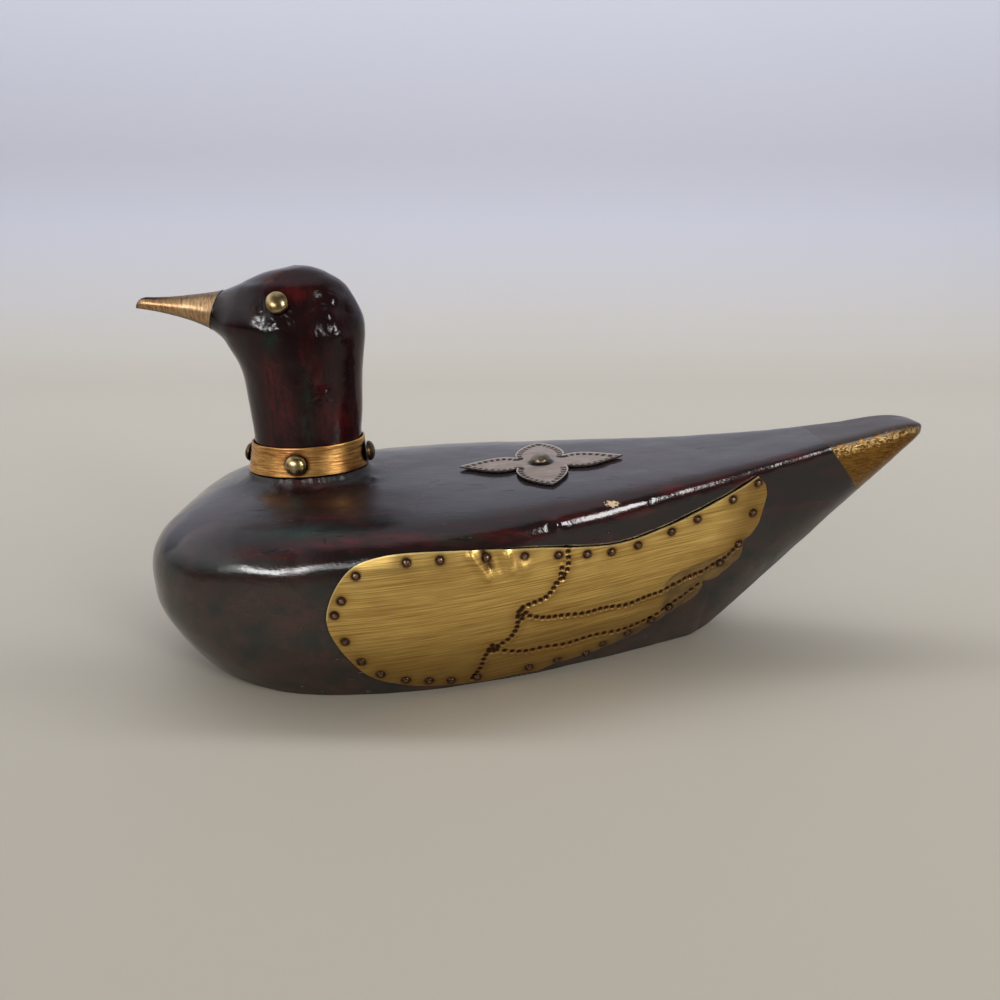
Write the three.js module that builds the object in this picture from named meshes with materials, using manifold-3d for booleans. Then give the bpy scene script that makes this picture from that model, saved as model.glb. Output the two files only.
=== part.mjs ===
// A wooden duck decoy: a carved body, a dowelled head with a let-in bill, a gilt collar, sheet-brass wings
// and a sheet flower, all held by tacks and pins. Millimetres, +Z up. The duck stands on z = 0 and faces -X,
// with its left side towards -Y and the origin under the middle of its overall length.
import * as THREE from "three";
import { LoftGeometry } from "three/addons/geometries/LoftGeometry.js";
import { mergeVertices } from "three/addons/utils/BufferGeometryUtils.js";
import Module from "manifold-3d";

// Clearances
const SEAT_GAP = 0.3; // between a piece and what it lies on
const BORE_GAP = 0.3; // round a shank, tenon or dowel in its hole, and past its end

// Body, in plan
const BREAST_X = -179.5; // foremost point of the breast
const WIDEST_X = -78; // station of the full width
const TAIL_X = 180.7; // tip of the tail
const BODY_WIDTH = 150;
const TAIL_WIDTH = 23.2; // across the tail just before its round end
const TAIL_TAPER = 0.05; // loss of half width for each millimetre there
const TAIL_ROUND = 22; // length of the round end of the tail
const BREAST_BULGE = 2.9; // 2 is an ellipse, more is blunter
const UNDER_BULGE = 2.1; // the same under the breast

// Body, in side view
const NOSE_Z = 39; // height of the foremost point of the breast
const CREST_X = -100; // where the back starts to fall towards the breast, under the neck
const CREST_Z = 80.5;
const CREST_SLOPE = 0.046;
const TAIL_BACK_Z = 112; // where the line of the back would end without its round tip
const TAIL_BACK_SLOPE = 0.242;
const TIP_Z = 104; // height of the tip of the tail
const SHOULDER_SLOPE_FRONT = 0.12; // slope of the line of greatest width, at the breast and at the tail
const SHOULDER_SLOPE_REAR = 0.345;
const SHOULDER_SHARPNESS = 3.5; // under the neck: 2 is a round back, more is flatter with a tighter shoulder
const RIDGE_SHARPNESS = 6.9; // the same on the tail, where the shoulder is carved to a ridge
const RIDGE_X = 100; // from here on
const SIDE_BULGE = 2; // how full the side is between base and shoulder

// Flat base and stern
const BASE_FRONT_X = -104;
const BASE_WIDEST_X = -88;
const BASE_REAR_X = 82; // where the lines of base and stern would meet
const STERN_ROUND = 7; // how far before and after that the corner is rounded
const BASE_WIDTH = 130;
const BASE_TAPER = 0.45; // loss of half width for each millimetre at the rear end
const STERN_WIDTH = 24; // across the keel at the rear end of the base
const STERN_TIP_WIDTH = 10; // across the keel at the tail

// Neck joint: the head stands on a tilted seat, and its frame has its origin at the middle of that seat
const SEAT_X = -109.4;
const SEAT_RISE = 5.5; // height of its middle above the crest of the back
const SEAT_TILT = 2; // degrees, front lower
const SEAT_FLARE = 6; // radius of the hollow in which the body sweeps up to the seat
const SEAT_ROOT = 10; // how far the swept part reaches down inside the body
const DOWEL_RADIUS = 8;
const DOWEL_LENGTH = 56;

// Collar
const COLLAR_HEIGHT = 13.6;
const COLLAR_THICKNESS = 0.9;
const COLLAR_TACK_TURNS = { rear: 0, right: 80, front: 171, left: -92 }; // degrees, from rear over right

// Head and neck, in the head's frame, at ten levels: the seat, the top of the collar, neck, throat, cheeks,
// snout before it is cut for the bill, brow, two below the crown, and the crown
const HEAD_FRONT = [
  [27, 0], [23.9, COLLAR_HEIGHT], [23.7, 28.6], [25.2, 46.6], [30.5, 59.5],
  [38.2, 68.3], [31.5, 81.5], [19.1, 85.6], [7.7, 89.7], [-4.7, 91.8],
]; // reach forwards and height of the front
const HEAD_BACK = [
  [27.4, 0], [26.7, COLLAR_HEIGHT], [28.7, 30], [30.8, 48], [32.9, 62],
  [32.1, 71], [26.5, 82.4], [19.3, 87.9], [12.3, 90.8], [4.7, 91.8],
]; // reach backwards and height of the back
const HEAD_WIDTH = [40, 37, 38, 41, 44, 43, 34, 25, 15, 0];
const HEAD_PINCH = [0, 0, 0, 0.05, 0.2, 0.35, 0.3, 0.15, 0, 0]; // share lost by the front, towards the bill

// Bill, on an axis that starts in the snout and rises slightly
const BILL_ROOT_REACH = 33.9;
const BILL_ROOT_H = 73.8;
const BILL_RISE = 7.2; // degrees
const BILL_LENGTH = 34.9;
const BILL_ROOT_RADIUS = 8.2;
const BILL_TIP_RADIUS = 1.8;
const BILL_HOLLOW = 1.45; // 1 is a straight cone, more is hollower
const TENON_RADIUS = 5;
const TENON_LENGTH = 12;
const SNOUT_CUT_RADIUS = 25; // of the flat cut across the snout

// Sheet wings, with their outline as station and height on the side of the body, front to rear
const WING_SHEET = 0.7;
const WING_GAP = 0.6; // between the sheet and the wood
const WING_FRONT = [-88, 43.5];
const WING_TIP = [101.4, 82.5];
const WING_TOP = [[-79.5, 63], [-64, 70], [-36, 71.5], [-4, 70], [30, 67], [55, 72], [80, 81.5], [96.5, 90]];
const WING_LOW = [[-81, 24], [-68, 10.5], [-42, 4], [-8, 3.8], [24, 5.8], [52, 18], [78, 38], [95.5, 63]];

// Sheet flower on the back
const FLOWER_SHEET = 0.7;
const FLOWER_X = 2;
const FLOWER_LONG = 39; // middle to the tip of the petals that point fore and aft
const FLOWER_WIDE = 33.4; // middle to the tip of the petals that point to the sides
const NOTCH_X = 11.3; // place of the notches between petals, from the middle
const NOTCH_Y = 8.2;
const PETAL_SWELL = 14; // how far the curves of a petal are drawn out sideways
const PETAL_NEAR = 0.3; // where they are drawn out, as shares of the way from notch to tip
const PETAL_FAR = 0.6;

// Dome tacks
const TACK_RADIUS = 4.75;
const TACK_DOME = 3;
const TACK_RIM = 0.4; // height of the upright rim
const TACK_HOLLOW = 0.8; // depth of the hollow under the dome
const TACK_SHANK_RADIUS = 1.1;
const TACK_SHANK_LENGTH = 12;
const EYE_BACK = 0.6;
const EYE_H = 76.9;

// Wing pins
const PIN_RADIUS = 2.4;
const PIN_DOME = 1.2;
const PIN_SHANK_RADIUS = 0.8;
const PIN_SHANK_LENGTH = 9;
const PIN_INSET = 3.2; // from the edge of the wing

// The pins were set by eye: the free edge before the first and after the last, and the steps between them,
// which close up or open out with the length of the edge
const TOP_PINS = { front: 25, rear: 10, steps: [22, 13, 18, 15, 14, 12, 10, 11, 15, 12, 17, 14] };
const LOWER_PINS = { front: 12, rear: 11, steps: [25, 22, 21, 23, 27, 34, 42, 28] };

// Fineness of the surfaces
const FRONT_STEPS = 11;
const MIDDLE_STEPS = 13;
const STERN_STEPS = 8;
const TIP_STEPS = 5;
const END_STEP = 0.3; // share of a step between a round end and its first station
const BOTTOM_STEPS = 3;
const SIDE_STEPS = 6;
const TOP_STEPS = 9;
const HEAD_ROWS = 27;
const HEAD_SIDES = 24;
const COLLAR_ROWS = 3;
const BILL_ROWS = 7;
const FLARE_STEPS = 4;
const DOME_STEPS = 3;
const FLOWER_ROWS = 2;
const WING_STEPS = 24;
const WING_ROWS = 9;
const WING_ROW_CROWDING = 1.8; // more sets the rows closer together at the upper edge
const PETAL_STEPS = 5;
const TURNED_SIDES = 16;
const TACK_SIDES = 12;
const PIN_SIDES = 6;
const WELD = 1e-4; // corners closer than this are one
const SIDE_PROBE = 0.05; // steps in which the slope of the side and of the head is felt
const HEAD_PROBE = 1e-3;
const HALVINGS = 40; // in the search for a height on the head

const LACQUER = { color: 0x24100d, roughness: 0.22, metalness: 0 };
const GOLD_PAINT = { color: 0xa8743a, roughness: 0.38, metalness: 0.6 };
const SHEET_BRASS = { color: 0x9a7d3c, roughness: 0.38, metalness: 0.9 };
const FLOWER_METAL = { color: 0x81776a, roughness: 0.45, metalness: 0.6 };
const TACK_BRASS = { color: 0x8c6a34, roughness: 0.3, metalness: 0.9 };
const PIN_METAL = { color: 0x3d2a1b, roughness: 0.5, metalness: 0.7 };
const BARE_WOOD = { color: 0xb98d5c, roughness: 0.7, metalness: 0 };

const LEFT = -1;
const RIGHT = 1;
const QUARTER = Math.PI / 2; // of a turn
const { lerp, degToRad } = THREE.MathUtils;
const wasm = await Module();
wasm.setup();

// A closed geometry as a solid that can be joined and cut; triangles that collapsed to a line are dropped
function solidOf(geometry) {
  const bare = new THREE.BufferGeometry();
  bare.setAttribute("position", geometry.attributes.position);
  bare.setIndex(geometry.index);
  const merged = mergeVertices(bare, WELD);
  const corners = merged.index.array;
  const kept = [];
  for (let i = 0; i < corners.length; i += 3) {
    const [a, b, c] = corners.slice(i, i + 3);
    if (a !== b && b !== c && c !== a) kept.push(a, b, c);
  }
  const mesh = new wasm.Mesh({
    numProp: 3,
    vertProperties: merged.attributes.position.array,
    triVerts: new Uint32Array(kept),
  });
  return new wasm.Manifold(mesh);
}

function geometryOf(solid) {
  const { vertProperties, triVerts } = solid.getMesh();
  const geometry = new THREE.BufferGeometry();
  geometry.setAttribute("position", new THREE.BufferAttribute(vertProperties, 3));
  geometry.setIndex(new THREE.BufferAttribute(triVerts, 1));
  geometry.computeVertexNormals();
  return geometry;
}

function cutAll(solid, cutters) {
  return cutters.reduce((left, cutter) => left.subtract(solidOf(cutter)), solid);
}

// A turned shape from radius and height pairs; the lathe turns about Y, so the result is stood up along Z
function turned(profile, sides) {
  const points = profile.map(([radius, height]) => new THREE.Vector2(radius, height));
  return new THREE.LatheGeometry(points, sides).rotateX(Math.PI / 2);
}

function peg(radius, bottom, top, sides) {
  return turned([[0, bottom], [radius, bottom], [radius, top], [0, top]], sides);
}

const clamp01 = (t) => Math.min(1, Math.max(0, t));

// Falls from 1 at t = 0 to 0 at t = 1 along a rounded corner
const corner = (t, sharpness) => (1 - clamp01(t) ** sharpness) ** (1 / sharpness);

// Smooth curve from (x0, y0) to (x1, y1) with a given slope at each end
function sweep(x, x0, y0, slope0, x1, y1, slope1) {
  const span = x1 - x0;
  const t = clamp01((x - x0) / span);
  const start = slope0 * span * t * (1 - t) ** 2;
  const end = slope1 * span * t * t * (t - 1);
  return y0 + (y1 - y0) * t * t * (3 - 2 * t) + start + end;
}

// Body: the share of full size left towards the tip of the tail and towards the front of the breast
const tipShare = (x) => corner((x - (TAIL_X - TAIL_ROUND)) / TAIL_ROUND, 2);
const breastShare = (x, fullX, bulge) => corner((fullX - x) / (fullX - BREAST_X), bulge);

function halfWidth(x) {
  const full = BODY_WIDTH / 2;
  if (x < WIDEST_X) return full * breastShare(x, WIDEST_X, BREAST_BULGE);
  return sweep(x, WIDEST_X, full, 0, TAIL_X, TAIL_WIDTH / 2, -TAIL_TAPER) * tipShare(x);
}

function backHeight(x) {
  if (x < CREST_X) return lerp(NOSE_Z, CREST_Z, breastShare(x, CREST_X, BREAST_BULGE));
  const line = sweep(x, CREST_X, CREST_Z, CREST_SLOPE, TAIL_X, TAIL_BACK_Z, TAIL_BACK_SLOPE);
  return lerp(TIP_Z, line, tipShare(x));
}

function keelHeight(x) {
  if (x < BASE_FRONT_X) return NOSE_Z * (1 - breastShare(x, BASE_FRONT_X, UNDER_BULGE));
  const past = x - BASE_REAR_X;
  const slope = TIP_Z / (TAIL_X - BASE_REAR_X);
  if (past > STERN_ROUND) return slope * past;
  return (slope * Math.max(0, past + STERN_ROUND) ** 2) / (4 * STERN_ROUND);
}

function baseHalfWidth(x) {
  const full = BASE_WIDTH / 2;
  const stern = STERN_WIDTH / 2;
  if (x < BASE_WIDEST_X) return full * breastShare(x, BASE_WIDEST_X, UNDER_BULGE);
  if (x < BASE_REAR_X) return sweep(x, BASE_WIDEST_X, full, 0, BASE_REAR_X, stern, -BASE_TAPER);
  const share = (x - BASE_REAR_X) / (TAIL_X - BASE_REAR_X);
  return lerp(stern, STERN_TIP_WIDTH / 2, share) * tipShare(x);
}

const sharpness = (x) =>
  lerp(SHOULDER_SHARPNESS, RIDGE_SHARPNESS, clamp01((x - CREST_X) / (RIDGE_X - CREST_X)));

function shoulderHeight(x) {
  return sweep(x, BREAST_X, NOSE_Z, SHOULDER_SLOPE_FRONT, TAIL_X, TIP_Z, SHOULDER_SLOPE_REAR);
}

// Half width at a station and height, above or below the line of greatest width
function bodyReach(x, z) {
  const shoulder = shoulderHeight(x);
  const full = halfWidth(x);
  if (z > shoulder) return full * corner((z - shoulder) / (backHeight(x) - shoulder), sharpness(x));
  const rise = (z - keelHeight(x)) / (shoulder - keelHeight(x));
  return lerp(full, baseHalfWidth(x), (1 - clamp01(rise)) ** SIDE_BULGE);
}

// Height of the back at a station and a distance from the middle
function backAt(x, y) {
  const share = corner(Math.abs(y) / halfWidth(x), sharpness(x));
  return lerp(shoulderHeight(x), backHeight(x), share);
}

// One station of the body, from the middle of its underside up the right side and down the left
function bodySection(x) {
  const keel = keelHeight(x);
  const shoulder = shoulderHeight(x);
  const power = 2 / sharpness(x);
  const half = [];
  for (let i = 0; i < BOTTOM_STEPS; i++) half.push([(baseHalfWidth(x) * i) / BOTTOM_STEPS, keel]);
  for (let i = 0; i < SIDE_STEPS; i++) {
    const z = lerp(keel, shoulder, i / SIDE_STEPS);
    half.push([bodyReach(x, z), z]);
  }
  for (let i = 0; i < TOP_STEPS; i++) {
    const turn = (QUARTER * i) / TOP_STEPS;
    const share = Math.sin(turn) ** power;
    half.push([halfWidth(x) * Math.cos(turn) ** power, lerp(shoulder, backHeight(x), share)]);
  }
  const right = half.map(([y, z]) => new THREE.Vector3(x, y, z));
  const top = new THREE.Vector3(x, 0, backHeight(x));
  const left = half.slice(1).map(([y, z]) => new THREE.Vector3(x, -y, z));
  return [...right, top, ...left.reverse()];
}

// Stations close together where the breast and the tip of the tail turn in
function bodyStations() {
  const list = [BASE_FRONT_X];
  const round = (end, full, steps) => {
    for (let i = END_STEP; i < steps; i++) list.push(lerp(full, end, Math.cos((QUARTER * i) / steps)));
  };
  const even = (from, to, steps) => {
    for (let i = 0; i < steps; i++) list.push(lerp(from, to, i / steps));
  };
  round(BREAST_X, WIDEST_X, FRONT_STEPS);
  even(WIDEST_X, BASE_REAR_X, MIDDLE_STEPS);
  even(BASE_REAR_X, TAIL_X - TAIL_ROUND, STERN_STEPS);
  for (const share of [-1, -0.5, 0.5, 1]) list.push(BASE_REAR_X + share * STERN_ROUND);
  round(TAIL_X, TAIL_X - TAIL_ROUND, TIP_STEPS);
  return list.sort((a, b) => a - b);
}

const bodyBlock = new LoftGeometry(bodyStations().map(bodySection), { capStart: true, capEnd: true });

// Point and outward direction on a side of the body
function onSide(side, x, z) {
  const at = (station, height) => new THREE.Vector3(station, side * bodyReach(station, height), height);
  const along = at(x + SIDE_PROBE, z).sub(at(x - SIDE_PROBE, z));
  const up = at(x, z + SIDE_PROBE).sub(at(x, z - SIDE_PROBE));
  const outward = up.cross(along).multiplyScalar(side).normalize();
  return { point: at(x, z), outward };
}

const lifted = ({ point, outward }, distance) => point.clone().addScaledVector(outward, distance);

// Head: smooth lines through its levels
const spline = (points) => new THREE.SplineCurve(points.map(([x, y]) => new THREE.Vector2(x, y)));
const headFront = spline(HEAD_FRONT.map(([reach, height]) => [-reach, height]));
const headBack = spline(HEAD_BACK);
const headShape = spline(HEAD_WIDTH.map((width, level) => [width / 2, HEAD_PINCH[level]]));

// Point on the head; t goes from the seat to the crown, and turn goes from the back over the right side
function headPoint(t, turn) {
  const front = headFront.getPoint(t);
  const back = headBack.getPoint(t);
  const shape = headShape.getPoint(t);
  const share = Math.cos(turn);
  const place = front.lerp(back, (1 + share) / 2);
  const narrowing = 1 - shape.y * Math.max(0, -share) ** 2;
  return new THREE.Vector3(place.x, shape.x * Math.sin(turn) * narrowing, place.y);
}

function onHead(t, turn) {
  const around = headPoint(t, turn + HEAD_PROBE).sub(headPoint(t, turn - HEAD_PROBE));
  const up = headPoint(clamp01(t + HEAD_PROBE), turn).sub(headPoint(clamp01(t - HEAD_PROBE), turn));
  return { point: headPoint(t, turn), outward: around.cross(up).normalize() };
}

// Place on a side of the head at a reach behind the seat's middle and a height above it
function onCheek(side, reach, height) {
  let low = 0;
  let high = 1;
  let turn = 0;
  for (let i = 0; i < HALVINGS; i++) {
    const t = (low + high) / 2;
    const front = headFront.getPoint(t);
    const back = headBack.getPoint(t);
    const share = (reach - front.x) / (back.x - front.x);
    turn = side * Math.acos(2 * clamp01(share) - 1);
    if (lerp(front.y, back.y, share) < height) low = t;
    else high = t;
  }
  return onHead((low + high) / 2, turn);
}

function headBlock() {
  const rings = [];
  for (let row = 0; row <= HEAD_ROWS; row++) {
    const ring = [];
    for (let i = 0; i < HEAD_SIDES; i++) {
      ring.push(headPoint(row / HEAD_ROWS, (4 * QUARTER * i) / HEAD_SIDES));
    }
    rings.push(ring);
  }
  return new LoftGeometry(rings, { capStart: true });
}

// Round the neck the collar covers the first level of the head
const collarTop = 1 / (HEAD_FRONT.length - 1);

function collarBand() {
  const sections = [];
  for (let i = 0; i <= HEAD_SIDES; i++) {
    const turn = (4 * QUARTER * (i % HEAD_SIDES)) / HEAD_SIDES;
    const inner = [];
    const outer = [];
    for (let row = 0; row <= COLLAR_ROWS; row++) {
      const place = onHead((collarTop * row) / COLLAR_ROWS, turn);
      inner.push(lifted(place, SEAT_GAP));
      outer.push(lifted(place, SEAT_GAP + COLLAR_THICKNESS));
    }
    sections.push([...inner, ...outer.reverse()]);
  }
  return new LoftGeometry(sections);
}

// The body sweeps up in a hollow to an oval seat as large as the collar
function neckSeat() {
  const collar = SEAT_GAP + COLLAR_THICKNESS;
  const oval = (extra, height) => {
    const ring = [];
    for (let i = 0; i < HEAD_SIDES; i++) {
      const turn = (4 * QUARTER * i) / HEAD_SIDES;
      const out = new THREE.Vector3(Math.cos(turn), Math.sin(turn), 0).multiplyScalar(collar + extra);
      ring.push(headPoint(0, turn).add(out).setZ(height));
    }
    return ring;
  };
  const rings = [oval(SEAT_FLARE, -SEAT_GAP - SEAT_ROOT)];
  for (let i = FLARE_STEPS; i >= 0; i--) {
    const turn = (QUARTER * i) / FLARE_STEPS;
    rings.push(oval(SEAT_FLARE * (1 - Math.cos(turn)), -SEAT_GAP - SEAT_FLARE * Math.sin(turn)));
  }
  return new LoftGeometry(rings, { capStart: true, capEnd: true });
}

// Bill: a hollow cone with a round tip on a tenon, along its own Z
function billShape() {
  const profile = [[0, -TENON_LENGTH], [TENON_RADIUS, -TENON_LENGTH], [TENON_RADIUS, 0]];
  const straight = BILL_LENGTH - BILL_TIP_RADIUS;
  for (let i = 0; i <= BILL_ROWS; i++) {
    const share = (1 - i / BILL_ROWS) ** BILL_HOLLOW;
    profile.push([lerp(BILL_TIP_RADIUS, BILL_ROOT_RADIUS, share), (straight * i) / BILL_ROWS]);
  }
  for (let i = 1; i <= DOME_STEPS; i++) {
    const turn = (QUARTER * i) / DOME_STEPS;
    profile.push([BILL_TIP_RADIUS * Math.cos(turn), straight + BILL_TIP_RADIUS * Math.sin(turn)]);
  }
  return geometryOf(solidOf(turned(profile, TURNED_SIDES)));
}

// Dome tack with a hollow underside; its rim lies on its own z = 0 and its shank points down
function tackShape() {
  const tip = 2 * TACK_SHANK_RADIUS;
  const profile = [
    [0, -TACK_SHANK_LENGTH],
    [TACK_SHANK_RADIUS, tip - TACK_SHANK_LENGTH],
    [TACK_SHANK_RADIUS, TACK_HOLLOW],
    [TACK_RADIUS, 0],
    [TACK_RADIUS, TACK_RIM],
  ];
  for (let i = 1; i <= DOME_STEPS; i++) {
    const turn = (QUARTER * i) / DOME_STEPS;
    profile.push([TACK_RADIUS * Math.cos(turn), lerp(TACK_RIM, TACK_DOME, Math.sin(turn))]);
  }
  return geometryOf(solidOf(turned(profile, TACK_SIDES)));
}

function pinShape() {
  const tip = 2 * PIN_SHANK_RADIUS;
  const slant = QUARTER / 2;
  const profile = [
    [0, -PIN_SHANK_LENGTH],
    [PIN_SHANK_RADIUS, tip - PIN_SHANK_LENGTH],
    [PIN_SHANK_RADIUS, 0],
    [PIN_RADIUS, 0],
    [PIN_RADIUS * Math.cos(slant), PIN_DOME * Math.sin(slant)],
    [0, PIN_DOME],
  ];
  return geometryOf(solidOf(turned(profile, PIN_SIDES)));
}

// Hole for a shank, from past its end to clear of the head's underside
const tackBore = peg(TACK_SHANK_RADIUS + BORE_GAP, -TACK_SHANK_LENGTH - BORE_GAP, TACK_HOLLOW, TACK_SIDES);
const pinBore = peg(PIN_SHANK_RADIUS + BORE_GAP, -PIN_SHANK_LENGTH - BORE_GAP, PIN_DOME, PIN_SIDES);

// Wings: smooth edges through their outline points
const wingTop = spline([WING_FRONT, ...WING_TOP, WING_TIP]);
const wingLow = spline([WING_FRONT, ...WING_LOW, WING_TIP]);

// Place on the body under the wing; t runs along the wing and rise from its lower to its upper edge
function underWing(side, t, rise) {
  const spot = wingLow.getPoint(t).lerp(wingTop.getPoint(t), rise);
  return onSide(side, spot.x, spot.y);
}

function wingSheet(side) {
  const sections = [];
  for (let i = 0; i <= WING_STEPS; i++) {
    const inner = [];
    const outer = [];
    for (let row = 0; row <= WING_ROWS; row++) {
      const rise = 1 - (1 - row / WING_ROWS) ** WING_ROW_CROWDING;
      const place = underWing(side, i / WING_STEPS, rise);
      inner.push(lifted(place, WING_GAP));
      outer.push(lifted(place, WING_GAP + WING_SHEET));
    }
    sections.push(side === LEFT ? [...inner, ...outer.reverse()] : [...outer, ...inner.reverse()]);
  }
  return new LoftGeometry(sections);
}

// Pins along one edge of a wing, a little inside it
function pinPlaces(side, edge, { front, rear, steps }) {
  const length = edge.getLength();
  const total = steps.reduce((sum, step) => sum + step, 0);
  const places = [];
  let gone = 0;
  for (const step of [...steps, 0]) {
    const share = lerp(front, length - rear, gone / total) / length;
    const ahead = edge.getTangentAt(share);
    const inwards = new THREE.Vector2(-ahead.y, ahead.x);
    const spot = edge.getPointAt(share).addScaledVector(inwards, edge === wingLow ? PIN_INSET : -PIN_INSET);
    places.push(onSide(side, spot.x, spot.y));
    gone += step;
  }
  return places.map((place) => ({ ...place, point: lifted(place, WING_GAP + WING_SHEET + SEAT_GAP) }));
}

// Flower: one loop of four petals that swell from the notches and end in points
function flowerOutline() {
  const outline = new THREE.Path().moveTo(NOTCH_X, -NOTCH_Y);
  const petal = (angle, tip, notchAlong, notchAcross) => {
    const at = (along, across) => new THREE.Vector2(along, across).rotateAround(new THREE.Vector2(), angle);
    const swell = (share, side) => {
      const across = (PETAL_SWELL * (1 - share)) / (1 - PETAL_NEAR);
      return at(lerp(notchAlong, tip, share), side * across);
    };
    outline.bezierCurveTo(...swell(PETAL_NEAR, -1), ...swell(PETAL_FAR, -1), ...at(tip, 0));
    outline.bezierCurveTo(...swell(PETAL_FAR, 1), ...swell(PETAL_NEAR, 1), ...at(notchAlong, notchAcross));
  };
  petal(0, FLOWER_LONG, NOTCH_X, NOTCH_Y);
  petal(QUARTER, FLOWER_WIDE, NOTCH_Y, NOTCH_X);
  petal(2 * QUARTER, FLOWER_LONG, NOTCH_X, NOTCH_Y);
  petal(-QUARTER, FLOWER_WIDE, NOTCH_Y, NOTCH_X);
  return outline.getPoints(PETAL_STEPS).slice(1);
}

// The sheet goes in over the top to the tack's hole, out again underneath and round the edge
function flowerSheet() {
  const outline = flowerOutline();
  const hole = TACK_SHANK_RADIUS + BORE_GAP;
  const ring = (share, lift) =>
    outline.map((spot) => {
      const place = spot.clone().setLength(lerp(hole, spot.length(), share));
      const x = FLOWER_X + place.x;
      return new THREE.Vector3(x, place.y, backAt(x, place.y) + lift);
    });
  const under = [];
  const over = [];
  for (let i = 0; i <= FLOWER_ROWS; i++) {
    under.push(ring(i / FLOWER_ROWS, SEAT_GAP));
    over.push(ring(i / FLOWER_ROWS, SEAT_GAP + FLOWER_SHEET));
  }
  return new LoftGeometry([...over.reverse(), ...under, over[0]]);
}

// Seats a piece with its own Z along the outward direction of a place
function seated({ point, outward }) {
  const turn = new THREE.Quaternion().setFromUnitVectors(new THREE.Vector3(0, 0, 1), outward);
  return new THREE.Matrix4().compose(point, turn, new THREE.Vector3(1, 1, 1));
}

const boresAt = (bore, places) => places.map((place) => bore.clone().applyMatrix4(seated(place)));

function named(name, geometry, finish) {
  const mesh = new THREE.Mesh(geometry, new THREE.MeshStandardMaterial(finish));
  mesh.name = name;
  return mesh;
}

function fastener(name, shape, finish, place) {
  const mesh = named(name, shape, finish);
  mesh.applyMatrix4(seated(place));
  return mesh;
}

// Places of the tacks
const tackLift = (place, onto) => ({ ...place, point: lifted(place, onto + SEAT_GAP) });
const eyes = {
  left_eye_tack: tackLift(onCheek(LEFT, EYE_BACK, EYE_H), 0),
  right_eye_tack: tackLift(onCheek(RIGHT, EYE_BACK, EYE_H), 0),
};
const collarTacks = {};
for (const [where, degrees] of Object.entries(COLLAR_TACK_TURNS)) {
  const place = onHead(collarTop / 2, degToRad(degrees));
  collarTacks[`collar_tack_${where}`] = tackLift(place, SEAT_GAP + COLLAR_THICKNESS);
}
const flowerMiddle = new THREE.Vector3(FLOWER_X, 0, backHeight(FLOWER_X));
const backSlope = (backHeight(FLOWER_X + 1) - backHeight(FLOWER_X - 1)) / 2;
const flowerUp = new THREE.Vector3(-backSlope, 0, 1).normalize();
const flowerTack = tackLift({ point: flowerMiddle, outward: flowerUp }, SEAT_GAP + FLOWER_SHEET);

// Places of the pins
const pins = {};
for (const [wing, side] of [["left_wing", LEFT], ["right_wing", RIGHT]]) {
  pinPlaces(side, wingTop, TOP_PINS).forEach((place, i) => {
    pins[`${wing}_top_pin_${i + 1}`] = place;
  });
  pinPlaces(side, wingLow, LOWER_PINS).forEach((place, i) => {
    pins[`${wing}_lower_pin_${i + 1}`] = place;
  });
}
const pinBores = (wing) => {
  const own = Object.keys(pins).filter((name) => name.startsWith(wing));
  return boresAt(pinBore, own.map((name) => pins[name]));
};

// Head group on its tilted seat
const headGroup = new THREE.Group();
headGroup.position.set(SEAT_X, 0, CREST_Z + SEAT_RISE);
headGroup.rotation.y = -degToRad(SEAT_TILT);
headGroup.updateMatrix();

const dowelHalf = DOWEL_LENGTH / 2;
const dowelBore = peg(DOWEL_RADIUS + BORE_GAP, -dowelHalf - BORE_GAP, dowelHalf + BORE_GAP, TURNED_SIDES);
const billRise = degToRad(BILL_RISE);
const billPlace = {
  point: new THREE.Vector3(-BILL_ROOT_REACH, 0, BILL_ROOT_H),
  outward: new THREE.Vector3(-Math.cos(billRise), 0, Math.sin(billRise)),
};
const snoutCut = peg(SNOUT_CUT_RADIUS, -SEAT_GAP, BILL_LENGTH, TURNED_SIDES);
const tenonBore = peg(TENON_RADIUS + BORE_GAP, -TENON_LENGTH - BORE_GAP, BORE_GAP, TURNED_SIDES);
const collarBores = boresAt(tackBore, Object.values(collarTacks));
const headCuts = [
  dowelBore,
  ...boresAt(snoutCut, [billPlace]),
  ...boresAt(tenonBore, [billPlace]),
  ...boresAt(tackBore, Object.values(eyes)),
  ...collarBores,
];
headGroup.add(named("head", geometryOf(cutAll(solidOf(headBlock()), headCuts)), LACQUER));
headGroup.add(named("collar_band", geometryOf(cutAll(solidOf(collarBand()), collarBores)), GOLD_PAINT));
headGroup.add(fastener("bill", billShape(), GOLD_PAINT, billPlace));
headGroup.add(named("neck_dowel", peg(DOWEL_RADIUS, -dowelHalf, dowelHalf, TURNED_SIDES), BARE_WOOD));
for (const [name, place] of Object.entries({ ...eyes, ...collarTacks })) {
  headGroup.add(fastener(name, tackShape(), TACK_BRASS, place));
}

// Body with its seat for the head, and the sheet pieces on it
const duck = new THREE.Group();
const seat = neckSeat().applyMatrix4(headGroup.matrix);
const bodyCuts = [
  dowelBore.clone().applyMatrix4(headGroup.matrix),
  ...boresAt(tackBore, [flowerTack]),
  ...boresAt(pinBore, Object.values(pins)),
];
duck.add(named("body", geometryOf(cutAll(solidOf(bodyBlock).add(solidOf(seat)), bodyCuts)), LACQUER));
for (const [wing, side] of [["left_wing", LEFT], ["right_wing", RIGHT]]) {
  duck.add(named(wing, geometryOf(cutAll(solidOf(wingSheet(side)), pinBores(wing))), SHEET_BRASS));
}
duck.add(named("back_flower", geometryOf(solidOf(flowerSheet())), FLOWER_METAL));
duck.add(fastener("flower_tack", tackShape(), TACK_BRASS, flowerTack));
for (const [name, place] of Object.entries(pins)) duck.add(fastener(name, pinShape(), PIN_METAL, place));
duck.add(headGroup);

export default duck;
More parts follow.
